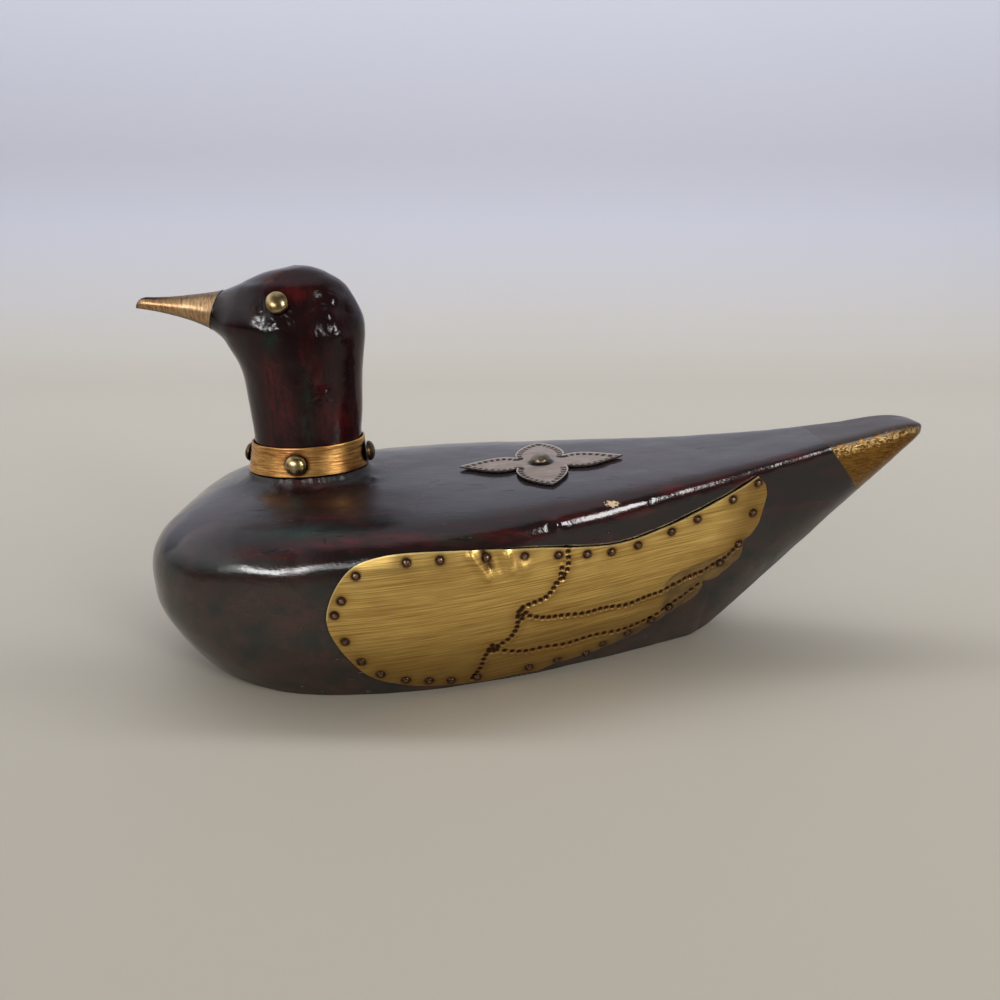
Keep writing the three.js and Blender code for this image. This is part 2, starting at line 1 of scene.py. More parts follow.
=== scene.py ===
# %% [markdown]
# # A wooden duck decoy
# The duck is a carved block of wood with a dowelled head, a pointed bill, a gilt collar, two wings of sheet
# brass and a sheet flower on its back, all held by tacks and pins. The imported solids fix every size. This
# lesson dresses them: each solid is replaced by a finer piece with its own finish.

# %% Load the frame
import math

import bpy
import numpy as np
from mathutils import Matrix, Vector


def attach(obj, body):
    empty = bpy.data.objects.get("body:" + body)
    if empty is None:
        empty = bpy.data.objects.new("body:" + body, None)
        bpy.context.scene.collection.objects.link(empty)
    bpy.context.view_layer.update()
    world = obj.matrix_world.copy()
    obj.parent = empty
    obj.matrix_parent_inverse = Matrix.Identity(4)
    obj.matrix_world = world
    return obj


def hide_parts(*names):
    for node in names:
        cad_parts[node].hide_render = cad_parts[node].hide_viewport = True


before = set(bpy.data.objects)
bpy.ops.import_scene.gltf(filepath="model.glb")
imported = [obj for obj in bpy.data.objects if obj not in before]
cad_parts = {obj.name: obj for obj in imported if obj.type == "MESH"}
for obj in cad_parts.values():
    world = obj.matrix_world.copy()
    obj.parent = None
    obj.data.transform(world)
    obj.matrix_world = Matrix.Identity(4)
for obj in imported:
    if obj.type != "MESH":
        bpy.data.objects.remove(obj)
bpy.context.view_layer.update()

MM = 0.001
QUARTER = math.pi / 2
LEFT, RIGHT = -1, 1

# %% [markdown]
# ## Hand tools
# Every operator acts on what is selected, so each piece starts alone. A shape that curves both ways, such as
# the body, starts as a flat grid that is then wrapped: every grid point is carried to its place on the form.
# Small marks, such as grime, painted shade and painted highlights, are painted on the points as an
# attribute that a finish can read.

# %% Hand tools
MERGE_WITHIN, SLIVER, FINER_CUTS = 1e-6, 1e-7, 2


def start_alone():
    bpy.ops.object.select_all(action="DESELECT")


def edit(action="SELECT"):
    bpy.ops.object.mode_set(mode="EDIT")
    bpy.ops.mesh.select_all(action=action)


def leave_edit():
    bpy.ops.object.mode_set(mode="OBJECT")


def called(name):
    piece = bpy.context.object
    piece.name = piece.data.name = name
    return piece


def points_of(piece):
    flat = np.empty(3 * len(piece.data.vertices))
    piece.data.vertices.foreach_get("co", flat)
    return flat.reshape(-1, 3)


def set_points(piece, points):
    piece.data.vertices.foreach_set("co", np.asarray(points, dtype=float).ravel())
    piece.data.update()


def flat_grid(name, steps_u, steps_v):
    start_alone()
    bpy.ops.mesh.primitive_grid_add(x_subdivisions=steps_u, y_subdivisions=steps_v, size=1)
    piece = called(name)
    flat = points_of(piece)
    return piece, flat[:, 0] + 0.5, flat[:, 1] + 0.5


def paint(piece, name, values):
    mark = piece.data.attributes.new(name, "FLOAT", "POINT")
    mark.data.foreach_set("value", np.asarray(values, dtype=float))


def growing(value, start, run):
    return np.clip((value - start) / run, 0, 1)


def fading(value, end, run):
    return np.clip((end - value) / run, 0, 1)


def close_seams():
    edit()
    bpy.ops.mesh.remove_doubles(threshold=MERGE_WITHIN)
    bpy.ops.mesh.dissolve_degenerate(threshold=SLIVER)
    bpy.ops.mesh.normals_make_consistent(inside=False)
    leave_edit()


def modify(piece, kind, **settings):
    tool = piece.modifiers.new(kind.title(), kind)
    for key, value in settings.items():
        setattr(tool, key, value)
    bpy.ops.object.modifier_apply(modifier=tool.name)


def smooth(angle=50):
    bpy.ops.object.shade_smooth_by_angle(angle=math.radians(angle))


def finished(piece, finish, slot, *nodes):
    if finish:
        piece.data.materials.clear()
        piece.data.materials.append(finish)
    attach(piece, "root")
    if nodes:
        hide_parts(*nodes)


def finer(piece, near):
    edit("DESELECT")
    bpy.ops.mesh.select_mode(type="FACE")
    leave_edit()
    for face in piece.data.polygons:
        face.select = any(near[i] for i in face.vertices)
    bpy.ops.object.mode_set(mode="EDIT")
    bpy.ops.mesh.subdivide(number_cuts=FINER_CUTS)
    leave_edit()
    return points_of(piece)


print("tools ready")

# %% [markdown]
# ## Finishes
# A finish is a Principled shader fed by procedural noise on the piece's own coordinates, in metres. These
# helpers add a node, a noise that can be stretched along the grain, a mix of two colours and a bump. Pictures
# of the surface could be used instead, but noise has no seams and stays sharp at any distance.

# %% Finish helpers
def new_finish(name, **plain):
    finish = bpy.data.materials.new(name)
    finish.use_nodes = True
    tree = finish.node_tree
    shader = tree.nodes["Principled BSDF"]
    for key, value in plain.items():
        shader.inputs[key].default_value = value
    return finish, tree, shader


def feed(tree, shader, **sockets):
    for key, value in sockets.items():
        tree.links.new(value, shader.inputs[key.replace("_", " ")])


def node(tree, kind, inputs=None, **settings):
    made = tree.nodes.new(kind)
    for key, value in settings.items():
        setattr(made, key, value)
    for key, value in (inputs or {}).items():
        if isinstance(value, bpy.types.NodeSocket):
            tree.links.new(value, made.inputs[key])
        else:
            made.inputs[key].default_value = value
    return made


def places(tree, stretch=(1, 1, 1), shift=(0, 0, 0)):
    coords = node(tree, "ShaderNodeTexCoord")
    inputs = {"Vector": coords.outputs["Object"], "Scale": stretch, "Location": shift}
    return node(tree, "ShaderNodeMapping", inputs).outputs["Vector"]


def split(tree, vector):
    return node(tree, "ShaderNodeSeparateXYZ", {0: vector}).outputs


def noise(tree, stretch, shift=(0, 0, 0), detail=4.0, roughness=0.55, warp=0.0):
    inputs = {
        "Vector": places(tree, stretch, shift),
        "Scale": 1.0,
        "Detail": detail,
        "Roughness": roughness,
        "Distortion": warp,
    }
    return node(tree, "ShaderNodeTexNoise", inputs).outputs["Fac"]


def span(tree, value, low, high, to_low=0.0, to_high=1.0):
    inputs = {"Value": value, "From Min": low, "From Max": high, "To Min": to_low, "To Max": to_high}
    return node(tree, "ShaderNodeMapRange", inputs, clamp=True).outputs["Result"]


def sums(tree, kind, a, b):
    return node(tree, "ShaderNodeMath", {0: a, 1: b}, operation=kind).outputs[0]


def mixed(tree, share, below, above):
    inputs = {0: share, 6: below, 7: above}
    return node(tree, "ShaderNodeMix", inputs, data_type="RGBA").outputs[2]


def painted(tree, name):
    return node(tree, "ShaderNodeAttribute", attribute_name=name).outputs["Fac"]


def bump(tree, height, depth, strength, onto=None):
    inputs = {"Height": height, "Distance": depth, "Strength": strength}
    if onto is not None:
        inputs["Normal"] = onto
    return node(tree, "ShaderNodeBump", inputs).outputs["Normal"]


def rgb(red, green, blue):
    def linear(c):
        c /= 255
        return c / 12.92 if c <= 0.04045 else ((c + 0.055) / 1.055) ** 2.4

    return (linear(red), linear(green), linear(blue), 1.0)


print("finish helpers ready")

# %% [markdown]
# ## The lacquer
# The wood is nearly black under a glossy lacquer, with deep red rubbed through it in streaks along the grain
# and a breath of dark green. The gloss isn't perfect: brush marks and small pits break up the reflections.
# They are far too fine to model, so they are bumps of the finish. The head gets its own streaks, which run
# upwards.

# %% Lacquer
LACQUER_BLACK, HEAD_BLACK = rgb(14, 8, 8), rgb(21, 6, 7)
LACQUER_RED, LACQUER_GREEN = rgb(66, 14, 14), rgb(8, 36, 28)
BRUSH_DEPTH, PEEL_DEPTH, CRINKLE_DEPTH = 0.0003, 0.0002, 0.001
SHINIEST, DULLEST = 0.08, 0.17


def lacquer_colour(tree, stretch, shift, ground):
    broad = span(tree, noise(tree, stretch, shift, detail=5, warp=0.6), 0.50, 0.82)
    fine = span(tree, noise(tree, [6 * s for s in stretch], shift, detail=4), 0.34, 0.66, 0.1, 1.0)
    red = sums(tree, "MAXIMUM", broad, painted(tree, "red"))
    colour = mixed(tree, sums(tree, "MULTIPLY", red, fine), ground, LACQUER_RED)
    green = sums(tree, "MULTIPLY", painted(tree, "green"), fine)
    return mixed(tree, green, colour, LACQUER_GREEN)


def lacquer_bump(tree, stretch):
    brushed = noise(tree, stretch, (3, 1, 2), detail=3)
    peel = noise(tree, (760, 760, 760), (1, 5, 9), detail=3)
    wrinkled = noise(tree, (240, 240, 170), (8, 8, 8), detail=1.0, warp=0.8)
    crinkled = sums(tree, "MULTIPLY", wrinkled, painted(tree, "crinkle"))
    surface = bump(tree, brushed, BRUSH_DEPTH, 0.3)
    surface = bump(tree, peel, PEEL_DEPTH, 0.3, surface)
    return bump(tree, crinkled, CRINKLE_DEPTH, 0.6, surface)


def lacquer_gloss(tree):
    cloudy = noise(tree, (40, 90, 90), (5, 1, 3), detail=4)
    return span(tree, cloudy, 0.35, 0.7, SHINIEST, DULLEST)


def head_lacquer():
    finish, tree, shader = new_finish("head_lacquer", IOR=1.36)
    colour = lacquer_colour(tree, (75, 75, 24), (2, 0, 1), HEAD_BLACK)
    surface = lacquer_bump(tree, (260, 260, 60))
    feed(tree, shader, Base_Color=colour, Roughness=lacquer_gloss(tree), Normal=surface)
    return finish


HEAD_LACQUER = head_lacquer()
print("made", HEAD_LACQUER.name)

# %% [markdown]
# ## Gold paint
# Bill, tail and collar have a copper-gold paint laid on with a coarse brush, so fine strokes run through it.
# It is more metal than paint, so a metallic shader with streaked colour and a shallow bump suits it better
# than a plain glossy yellow.

# %% Gold paint
# dark tone for grime and for painted shade, such as the bill's underside
GRIME_AND_SHADE_TONE = rgb(32, 20, 12)
BILL_TONES = rgb(132, 98, 64), rgb(222, 188, 144), rgb(146, 100, 60)
COLLAR_TONES = rgb(146, 90, 42), rgb(246, 194, 116), rgb(120, 60, 32)
STROKE_DEPTH = 0.0003


def gold_colour(tree, stretch, dark, light):
    strokes = noise(tree, stretch, detail=3, roughness=0.6)
    return mixed(tree, span(tree, strokes, 0.30, 0.70), dark, light), strokes


def gold_paint(name, stretch, grime_and_shade, dark, light, patch, patches):
    finish, tree, shader = new_finish(name, Metallic=1.0, Roughness=0.34)
    colour, strokes = gold_colour(tree, stretch, dark, light)
    patchy = span(tree, noise(tree, (60, 60, 60), (3, 2, 1), detail=3), 0.42, 0.7, 0.0, patches)
    colour = mixed(tree, patchy, colour, patch)
    colour = mixed(tree, painted(tree, grime_and_shade), colour, GRIME_AND_SHADE_TONE)
    feed(tree, shader, Base_Color=colour, Normal=bump(tree, strokes, STROKE_DEPTH, 0.5))
    return finish


BILL_GOLD = gold_paint("bill_gold", (1300, 260, 260), "wear_and_shade", *BILL_TONES, 0.5)
COLLAR_GOLD = gold_paint("collar_gold", (110, 110, 1300), "grime_and_shade", *COLLAR_TONES, 0.75)
print("made", BILL_GOLD.name, COLLAR_GOLD.name)

# %% [markdown]
# ## The form of the body
# The carved block has a flat base, a breast that turns in, sides that bulge and a nearly flat back that meets
# the sides in a tight shoulder. It could be sculpted from a box, but then it would drift from its solid. Here
# its plan and its side view give every cross-section, as for the solid. Sizes are millimetres.

# %% Form of the body
BREAST_X, WIDEST_X, TAIL_X = -179.5, -78, 180.7
BODY_WIDTH, TAIL_WIDTH, TAIL_TAPER, TAIL_ROUND = 150, 23.2, 0.05, 22
BREAST_BULGE, UNDER_BULGE = 2.9, 2.1
NOSE_Z, CREST_X, CREST_Z, CREST_SLOPE = 39, -100, 80.5, 0.046
TAIL_BACK_Z, TAIL_BACK_SLOPE, TIP_Z = 112, 0.242, 104
SHOULDER_SLOPE_FRONT, SHOULDER_SLOPE_REAR, SIDE_BULGE = 0.12, 0.345, 2
SHOULDER_SHARPNESS, RIDGE_SHARPNESS, RIDGE_X = 3.5, 6.9, 100
BASE_FRONT_X, BASE_WIDEST_X, BASE_REAR_X, STERN_ROUND = -104, -88, 82, 7
BASE_WIDTH, BASE_TAPER, STERN_WIDTH, STERN_TIP_WIDTH = 130, 0.45, 24, 10


def lerp(a, b, t):
    return a + (b - a) * t


def corner(t, sharp):
    return (1 - np.clip(t, 0, 1) ** sharp) ** (1 / sharp)


def sweep(x, x0, y0, slope0, x1, y1, slope1):
    run = x1 - x0
    t = np.clip((x - x0) / run, 0, 1)
    ends = slope0 * run * t * (1 - t) ** 2 + slope1 * run * t * t * (t - 1)
    return y0 + (y1 - y0) * t * t * (3 - 2 * t) + ends


def tip_share(x):
    return corner((x - (TAIL_X - TAIL_ROUND)) / TAIL_ROUND, 2)


def breast_share(x, full_x, bulge):
    return corner((full_x - x) / (full_x - BREAST_X), bulge)


def sharpness(x):
    return lerp(SHOULDER_SHARPNESS, RIDGE_SHARPNESS, np.clip((x - CREST_X) / (RIDGE_X - CREST_X), 0, 1))


def half_width(x):
    full = BODY_WIDTH / 2
    rear = sweep(x, WIDEST_X, full, 0, TAIL_X, TAIL_WIDTH / 2, -TAIL_TAPER) * tip_share(x)
    return np.where(x < WIDEST_X, full * breast_share(x, WIDEST_X, BREAST_BULGE), rear)


def back_height(x):
    line = sweep(x, CREST_X, CREST_Z, CREST_SLOPE, TAIL_X, TAIL_BACK_Z, TAIL_BACK_SLOPE)
    front = lerp(NOSE_Z, CREST_Z, breast_share(x, CREST_X, BREAST_BULGE))
    return np.where(x < CREST_X, front, lerp(TIP_Z, line, tip_share(x)))


def keel_height(x):
    past = x - BASE_REAR_X
    slope = TIP_Z / (TAIL_X - BASE_REAR_X)
    rounded = slope * np.maximum(0, past + STERN_ROUND) ** 2 / (4 * STERN_ROUND)
    rear = np.where(past > STERN_ROUND, slope * past, rounded)
    return np.where(x < BASE_FRONT_X, NOSE_Z * (1 - breast_share(x, BASE_FRONT_X, UNDER_BULGE)), rear)


def base_half_width(x):
    full, stern = BASE_WIDTH / 2, STERN_WIDTH / 2
    middle = sweep(x, BASE_WIDEST_X, full, 0, BASE_REAR_X, stern, -BASE_TAPER)
    share = (x - BASE_REAR_X) / (TAIL_X - BASE_REAR_X)
    rear = lerp(stern, STERN_TIP_WIDTH / 2, share) * tip_share(x)
    front = full * breast_share(x, BASE_WIDEST_X, UNDER_BULGE)
    return np.where(x < BASE_WIDEST_X, front, np.where(x < BASE_REAR_X, middle, rear))


def shoulder_height(x):
    return sweep(x, BREAST_X, NOSE_Z, SHOULDER_SLOPE_FRONT, TAIL_X, TIP_Z, SHOULDER_SLOPE_REAR)


def body_reach(x, z):
    shoulder, keel, full = shoulder_height(x), keel_height(x), half_width(x)
    above = full * corner((z - shoulder) / np.maximum(back_height(x) - shoulder, 1e-6), sharpness(x))
    rise = np.clip((z - keel) / np.maximum(shoulder - keel, 1e-6), 0, 1)
    below = lerp(full, base_half_width(x), (1 - rise) ** SIDE_BULGE)
    return np.where(z > shoulder, above, below)


def back_at(x, y):
    share = corner(np.abs(y) / np.maximum(half_width(x), 1e-6), sharpness(x))
    return lerp(shoulder_height(x), back_height(x), share)


print("body at its widest, mm:", 2 * float(half_width(np.array(WIDEST_X))))

# %% [markdown]
# ## Carving the body
# A grid is rolled round the form, one row to a station and one column to a step round the section. Stations
# crowd at the breast and the tail, where the form turns in. The steps are even along the bottom, the side and
# the back, so the edge of the base stays one clean line. Near the neck the back sweeps up to the collar.

# %% Carve the body
SEAT_X, SEAT_Z, SEAT_TILT, SEAT_GAP = -109.4, CREST_Z + 5.5, math.radians(2), 0.3
COLLAR_THICKNESS = 0.9
SEAT_FRONT, SEAT_BACK, SEAT_HALF = 27, 27.4, 20
STUB_SHARE, STUB_WIDTH, FLARE = 0.36, 1.0, 3.4
BACK_FROM, COLLAR_NEAR = 60, 6
BODY_STATIONS, BODY_STEPS = 396, 224
BOTTOM_STEPS, SIDE_STEPS = 26, 36
SIDE_SAMPLES, TOP_SAMPLES = 200, 800
NOSE_ROWS, TIP_ROWS, NOSE_SHARE = 70, 44, 0.86


def body_stations():
    wide = np.linspace(0, NOSE_SHARE, NOSE_ROWS)
    nose = WIDEST_X - (1 - wide**BREAST_BULGE) ** (1 / BREAST_BULGE) * (WIDEST_X - BREAST_X)
    narrow = np.linspace(1, 0, TIP_ROWS)
    tip = TAIL_X - TAIL_ROUND + TAIL_ROUND * np.sqrt(1 - narrow**2)
    middle = np.linspace(nose[-1], tip[0], BODY_STATIONS + 3 - NOSE_ROWS - TIP_ROWS)
    return np.concatenate([nose, middle[1:-1], tip])


def even_steps(y, z, steps):
    run = np.concatenate([[0], np.cumsum(np.hypot(np.diff(y), np.diff(z)))])
    want = np.linspace(0, run[-1], steps + 1)
    return np.interp(want, run, y), np.interp(want, run, z)


def half_section(x):
    keel, shoulder, back = (float(f(np.array(x))) for f in (keel_height, shoulder_height, back_height))
    base, full = float(base_half_width(np.array(x))), float(half_width(np.array(x)))
    z = np.linspace(keel, shoulder, SIDE_SAMPLES)
    side = even_steps(body_reach(np.full(SIDE_SAMPLES, x), z), z, SIDE_STEPS)
    turn = np.linspace(0, QUARTER, TOP_SAMPLES)
    power = 2 / float(sharpness(np.array(x)))
    top_y, top_z = full * np.cos(turn) ** power, lerp(shoulder, back, np.sin(turn) ** power)
    top = even_steps(top_y, top_z, BODY_STEPS // 2 - BOTTOM_STEPS - SIDE_STEPS)
    bottom = np.linspace(0, base, BOTTOM_STEPS + 1), np.full(BOTTOM_STEPS + 1, keel)
    return [np.concatenate([bottom[i][:-1], side[i][:-1], top[i]]) for i in (0, 1)]


def past_collar(x, y):
    along = x - SEAT_X
    reach = np.where(along < 0, SEAT_FRONT, SEAT_BACK) + SEAT_GAP + COLLAR_THICKNESS
    oval = np.hypot(along / reach, y / (SEAT_HALF + SEAT_GAP + COLLAR_THICKNESS))
    return np.hypot(along, y) * (1 - 1 / np.maximum(oval, 1e-6))


def neck_sweep(x, y, z):
    outside = past_collar(x, y)
    seat = SEAT_Z - SEAT_GAP + (x - SEAT_X) * math.tan(SEAT_TILT)
    stub = STUB_SHARE * np.clip(1 - outside / STUB_WIDTH, 0, 1)
    fade = stub + (1 - STUB_SHARE) * np.exp(-np.maximum(outside, 0) / FLARE)
    return np.where(z > BACK_FROM, z + np.maximum(seat - z, 0) * fade, z)


def carve_body():
    piece, u, v = flat_grid("carved_body", BODY_STATIONS, BODY_STEPS)
    row = np.rint(u * BODY_STATIONS).astype(int)
    step = np.rint(v * BODY_STEPS).astype(int)
    stations = body_stations()
    halves = [half_section(x) for x in stations]
    half = BODY_STEPS // 2
    up = np.where(step <= half, step, BODY_STEPS - step)
    side = np.where(step <= half, 1, -1)
    y = np.stack([h[0] for h in halves])[row, up] * side
    z = np.stack([h[1] for h in halves])[row, up]
    x = stations[row]
    set_points(piece, np.stack([x, y, z], axis=1) * MM)
    paint(piece, "girth", up / half)
    close_seams()
    x, y, z = points_of(piece).T / MM
    near = (np.abs(past_collar(x, y)) < COLLAR_NEAR) & (z > BACK_FROM)
    x, y, z = finer(piece, near).T / MM
    set_points(piece, np.stack([x, y, neck_sweep(x, y, z)], axis=1) * MM)
    return piece


body = carve_body()
print("body points", len(body.data.vertices))

# %% [markdown]
# Hand carving leaves the surface a little uneven, and that is what breaks up the long highlight. Two cloud
# textures push the surface in and out by fractions of a millimetre, broad waves first and then tool marks.

# %% Uneven carving
BODY_WAVES = (34, 0.8), (11, 0.3)
WAVES_MIDDLE, TAIL_TRIM = 0.75, 180.5


def uneven(piece, waves):
    for size, depth in waves:
        clouds = bpy.data.textures.new(f"{piece.name}_{size}", "CLOUDS")
        clouds.noise_scale = size * MM
        clouds.noise_depth = 1
        settings = {"texture": clouds, "texture_coords": "LOCAL", "mid_level": WAVES_MIDDLE}
        modify(piece, "DISPLACE", strength=depth * MM, **settings)


uneven(body, BODY_WAVES)
spots = points_of(body)
spots[:, 2] = np.maximum(spots[:, 2], 0)
spots[:, 0] = np.minimum(spots[:, 0], TAIL_TRIM * MM)
set_points(body, spots)
smooth()
print("body made uneven")

# %% [markdown]
# The body's lacquer is streaked along its length, with red rubbed along the shoulders and a few green stains
# on the breast. Each stain is an oval, a middle and three half-lengths, and is painted on the points. Dents
# are pressed along the surface's own direction, and the lacquer round them crinkles.

# %% Stains and dents of the body
RED_STAINS = [
    (-86, -66, 73.5, 24, 4, 3), (-50, -66, 74.5, 28, 4, 3), (20, -55, 80, 24, 4, 3),
    (64, -40, 87.5, 28, 4, 3), (-110, -68, 69, 20, 4, 3), (-105, -73, 60.5, 20, 4, 2),
    (112, -22, 97, 20, 4, 3), (-103, -23, 84, 22, 3, 3), (-16, -63, 75, 26, 5, 3),
    (42, -50, 80, 24, 5, 3), (88, -34, 89, 20, 5, 3),
]
GREEN_STAINS = [
    (-100, -60, 75, 15, 4, 4), (-88, -61.5, 75.5, 10, 3, 3), (-127, -69, 63.7, 9, 4, 3),
    (-113, -69, 66, 8, 3, 2), (-90, -73, 64.2, 9, 3, 1.6), (-108, -35, 79.6, 4, 5, 4),
    (-98, -74, 57, 12, 4, 4), (-36, -66, 75, 12, 4, 2),
]
DULL_PATCHES = [(SEAT_X, 0, SEAT_Z, 44, 40, 12), (-86, -40, 80, 38, 24, 10)]
BODY_DENTS = [
    (5.5, -58.6, 78.4, 2.6, 0.5), (2, -59.5, 77.8, 2.4, -0.5), (9, -57.5, 79, 2.4, -0.4),
    (46, -45.5, 84.4, 2, -0.3), (-119, -24, 83.2, 2.6, 0.5), (-115, -26, 82.6, 2.2, -0.45),
    (-111, -27, 82.4, 2.4, 0.45), (-107, -25, 82.8, 2, -0.4), (-98, -26, 82.6, 2.4, 0.45),
    (-93, -25, 82.8, 2.2, -0.4), (-88, -22, 83, 2.2, 0.4), (-76, -9, 83.6, 2.6, 0.4),
    (-117, -22, 84.4, 2.4, -0.6), (-112.5, -22.4, 84.6, 2.2, 0.6), (-108, -22.2, 84, 2.4, -0.6),
    (-101, -21.6, 84, 2.4, 0.5), (-95, -20.4, 84.6, 2.2, -0.5), (-90, -17.6, 85, 2.2, 0.5),
    (-122, -20.6, 84, 2.2, 0.5),
]
CRINKLE_SPREAD = 1.3


def stain(piece, name, spots):
    points = points_of(piece) / MM
    share = np.zeros(len(points))
    for *middle, long, wide, tall in spots:
        away = (points - middle) / [long, wide, tall]
        share = np.maximum(share, np.exp(-(away**2).sum(axis=1)))
    paint(piece, name, share)


def press_dents(piece, dents):
    points = points_of(piece) / MM
    out = np.empty(3 * len(points))
    piece.data.vertices.foreach_get("normal", out)
    push, near = np.zeros(len(points)), np.zeros(len(points))
    for x, y, z, wide, deep in dents:
        share = np.linalg.norm(points - [x, y, z], axis=1) / wide
        push += deep * np.exp(-share**2)
        near = np.maximum(near, np.exp(-((share / CRINKLE_SPREAD) ** 2)))
    set_points(piece, (points + out.reshape(-1, 3) * push[:, None]) * MM)
    paint(piece, "crinkle", near)


stain(body, "red", RED_STAINS)
stain(body, "green", GREEN_STAINS)
stain(body, "dull", DULL_PATCHES)
press_dents(body, BODY_DENTS)
print("stains", len(RED_STAINS) + len(GREEN_STAINS), "dents", len(BODY_DENTS))

# %% [markdown]
# At the tail the lacquer gives way to gold paint, with a clean front line and a ragged upper edge where the
# dry brush ran out on the ridge; brighter gold flecks along that edge are painted glints. It could be a piece
# of its own, but paint has no thickness to speak of, so it is one more layer of the body's finish. A dusty
# veil lies on the lower sides. A paler veil on the back is partly dust and partly a painted sheen, standing
# for the reflection of the backdrop. Nicks and one chip are long and short ovals laid on the surface.

# %% Finish of the body
TAIL_LINE, TAIL_LINE_AT, TAIL_END = (0.765, 0.0, 0.644), 0.1648, 0.1762
LINE_SOFT, END_SOFT = 0.0005, 0.0006
CHIP_AT, CHIP_SIZE, CHIP_TORN = (0.0298, -0.0492, 0.0843), (0.0031, 0.0017, 0.0017), 0.45
NICK_DEEP, NICK_TORN, NICK_SUNK, CHIP_DEEPER = 0.002, 0.3, 0.0004, 1.5
NICKS = [
    (-0.0530, -0.0228, 0.0826, 0.0034, 0.0005, -0.25), (-0.0478, -0.0170, 0.0830, 0.0030, 0.0007, 0.5),
    (-0.0385, -0.0200, 0.0834, 0.0030, 0.0005, 0.1), (-0.0292, -0.0240, 0.0839, 0.0034, 0.0006, -0.15),
    (-0.0885, -0.0651, 0.0742, 0.0006, 0.0022, 0.3), (-0.1105, -0.0672, 0.0699, 0.0050, 0.0006, 0.1),
    (0.0785, 0.0020, 0.0936, 0.0022, 0.0007, 0.2), (0.0430, 0.0290, 0.0894, 0.0020, 0.0008, 0.1),
]
BARE_WOOD, NICK_TONE, CAP_TONE = rgb(176, 152, 120), rgb(9, 7, 7), rgb(42, 33, 29)
# the back's veil is partly dust and partly a painted sheen
DUST_TONES, BACK_DUST_AND_SHEEN = (rgb(19, 26, 22), rgb(55, 35, 29)), rgb(48, 42, 43)
# painted glints: brighter gold flecks along the ridge
GLINT_GOLD = rgb(204, 158, 86), rgb(252, 220, 156)
DULL_GOLD = rgb(88, 60, 25), rgb(146, 106, 50)
DUST_TOP, DUST_FULL, DUST_SHARE, SHEEN_SHARE = 0.070, 0.050, 0.85, 0.5
CAP_ROUGH, DULL_ROUGH, CHIP_ROUGH = 0.22, 0.26, 0.5


def laid(tree, size, turn, middle=(0, 0, 0)):
    coords = node(tree, "ShaderNodeTexCoord").outputs["Object"]
    inputs = {"Vector": coords, "Location": middle, "Rotation": turn, "Scale": size}
    return node(tree, "ShaderNodeMapping", inputs, vector_type="TEXTURE").outputs["Vector"]


def oval_mark(tree, middle, size, turn, torn):
    away = laid(tree, size, (0, 0, turn), middle)
    far = node(tree, "ShaderNodeVectorMath", {0: away}, operation="LENGTH").outputs["Value"]
    ragged = span(tree, noise(tree, (900, 900, 900), detail=2), 0.3, 0.7, -torn, torn)
    return span(tree, sums(tree, "ADD", far, ragged), 1.0, 0.8)


def nick_marks(tree):
    marks = span(tree, noise(tree, (70, 560, 560), (6, 2, 4), detail=2), 0.71, 0.74)
    for *middle, long, wide, turn in NICKS:
        mark = oval_mark(tree, middle, (long, wide, NICK_DEEP), turn, NICK_TORN)
        marks = sums(tree, "MAXIMUM", marks, mark)
    return marks


def tail_gilding(tree):
    inputs = {0: places(tree), 1: TAIL_LINE}
    ahead = node(tree, "ShaderNodeVectorMath", inputs, operation="DOT_PRODUCT").outputs["Value"]
    cap = span(tree, ahead, TAIL_LINE_AT, TAIL_LINE_AT + LINE_SOFT)
    end = span(tree, split(tree, places(tree))["X"], TAIL_END + END_SOFT, TAIL_END)
    cap = sums(tree, "MULTIPLY", cap, end)
    ragged = noise(tree, (620, 900, 900), (4, 4, 4), detail=4)
    edge = sums(tree, "ADD", painted(tree, "girth"), span(tree, ragged, 0.3, 0.7, -0.05, 0.05))
    # painted glints along the ridge, laid as ragged strokes
    bright = sums(tree, "MULTIPLY", span(tree, edge, 0.63, 0.68), span(tree, ragged, 0.46, 0.54))
    return sums(tree, "MULTIPLY", cap, span(tree, edge, 0.72, 0.69)), bright, cap


def side_dust(tree):
    cloudy = noise(tree, (60, 90, 90), (9, 3, 5), detail=7, roughness=0.7)
    dust = mixed(tree, span(tree, cloudy, 0.38, 0.62), *DUST_TONES)
    return span(tree, split(tree, places(tree))["Z"], DUST_TOP, DUST_FULL, 0.0, DUST_SHARE), dust


# a paler veil on the back: partly dust, partly a painted sheen for the backdrop's reflection
def back_dust_and_sheen(tree):
    away = span(tree, painted(tree, "dull"), 0.1, 0.4, SHEEN_SHARE, 0.0)
    return sums(tree, "MULTIPLY", away, span(tree, painted(tree, "girth"), 0.66, 0.76))


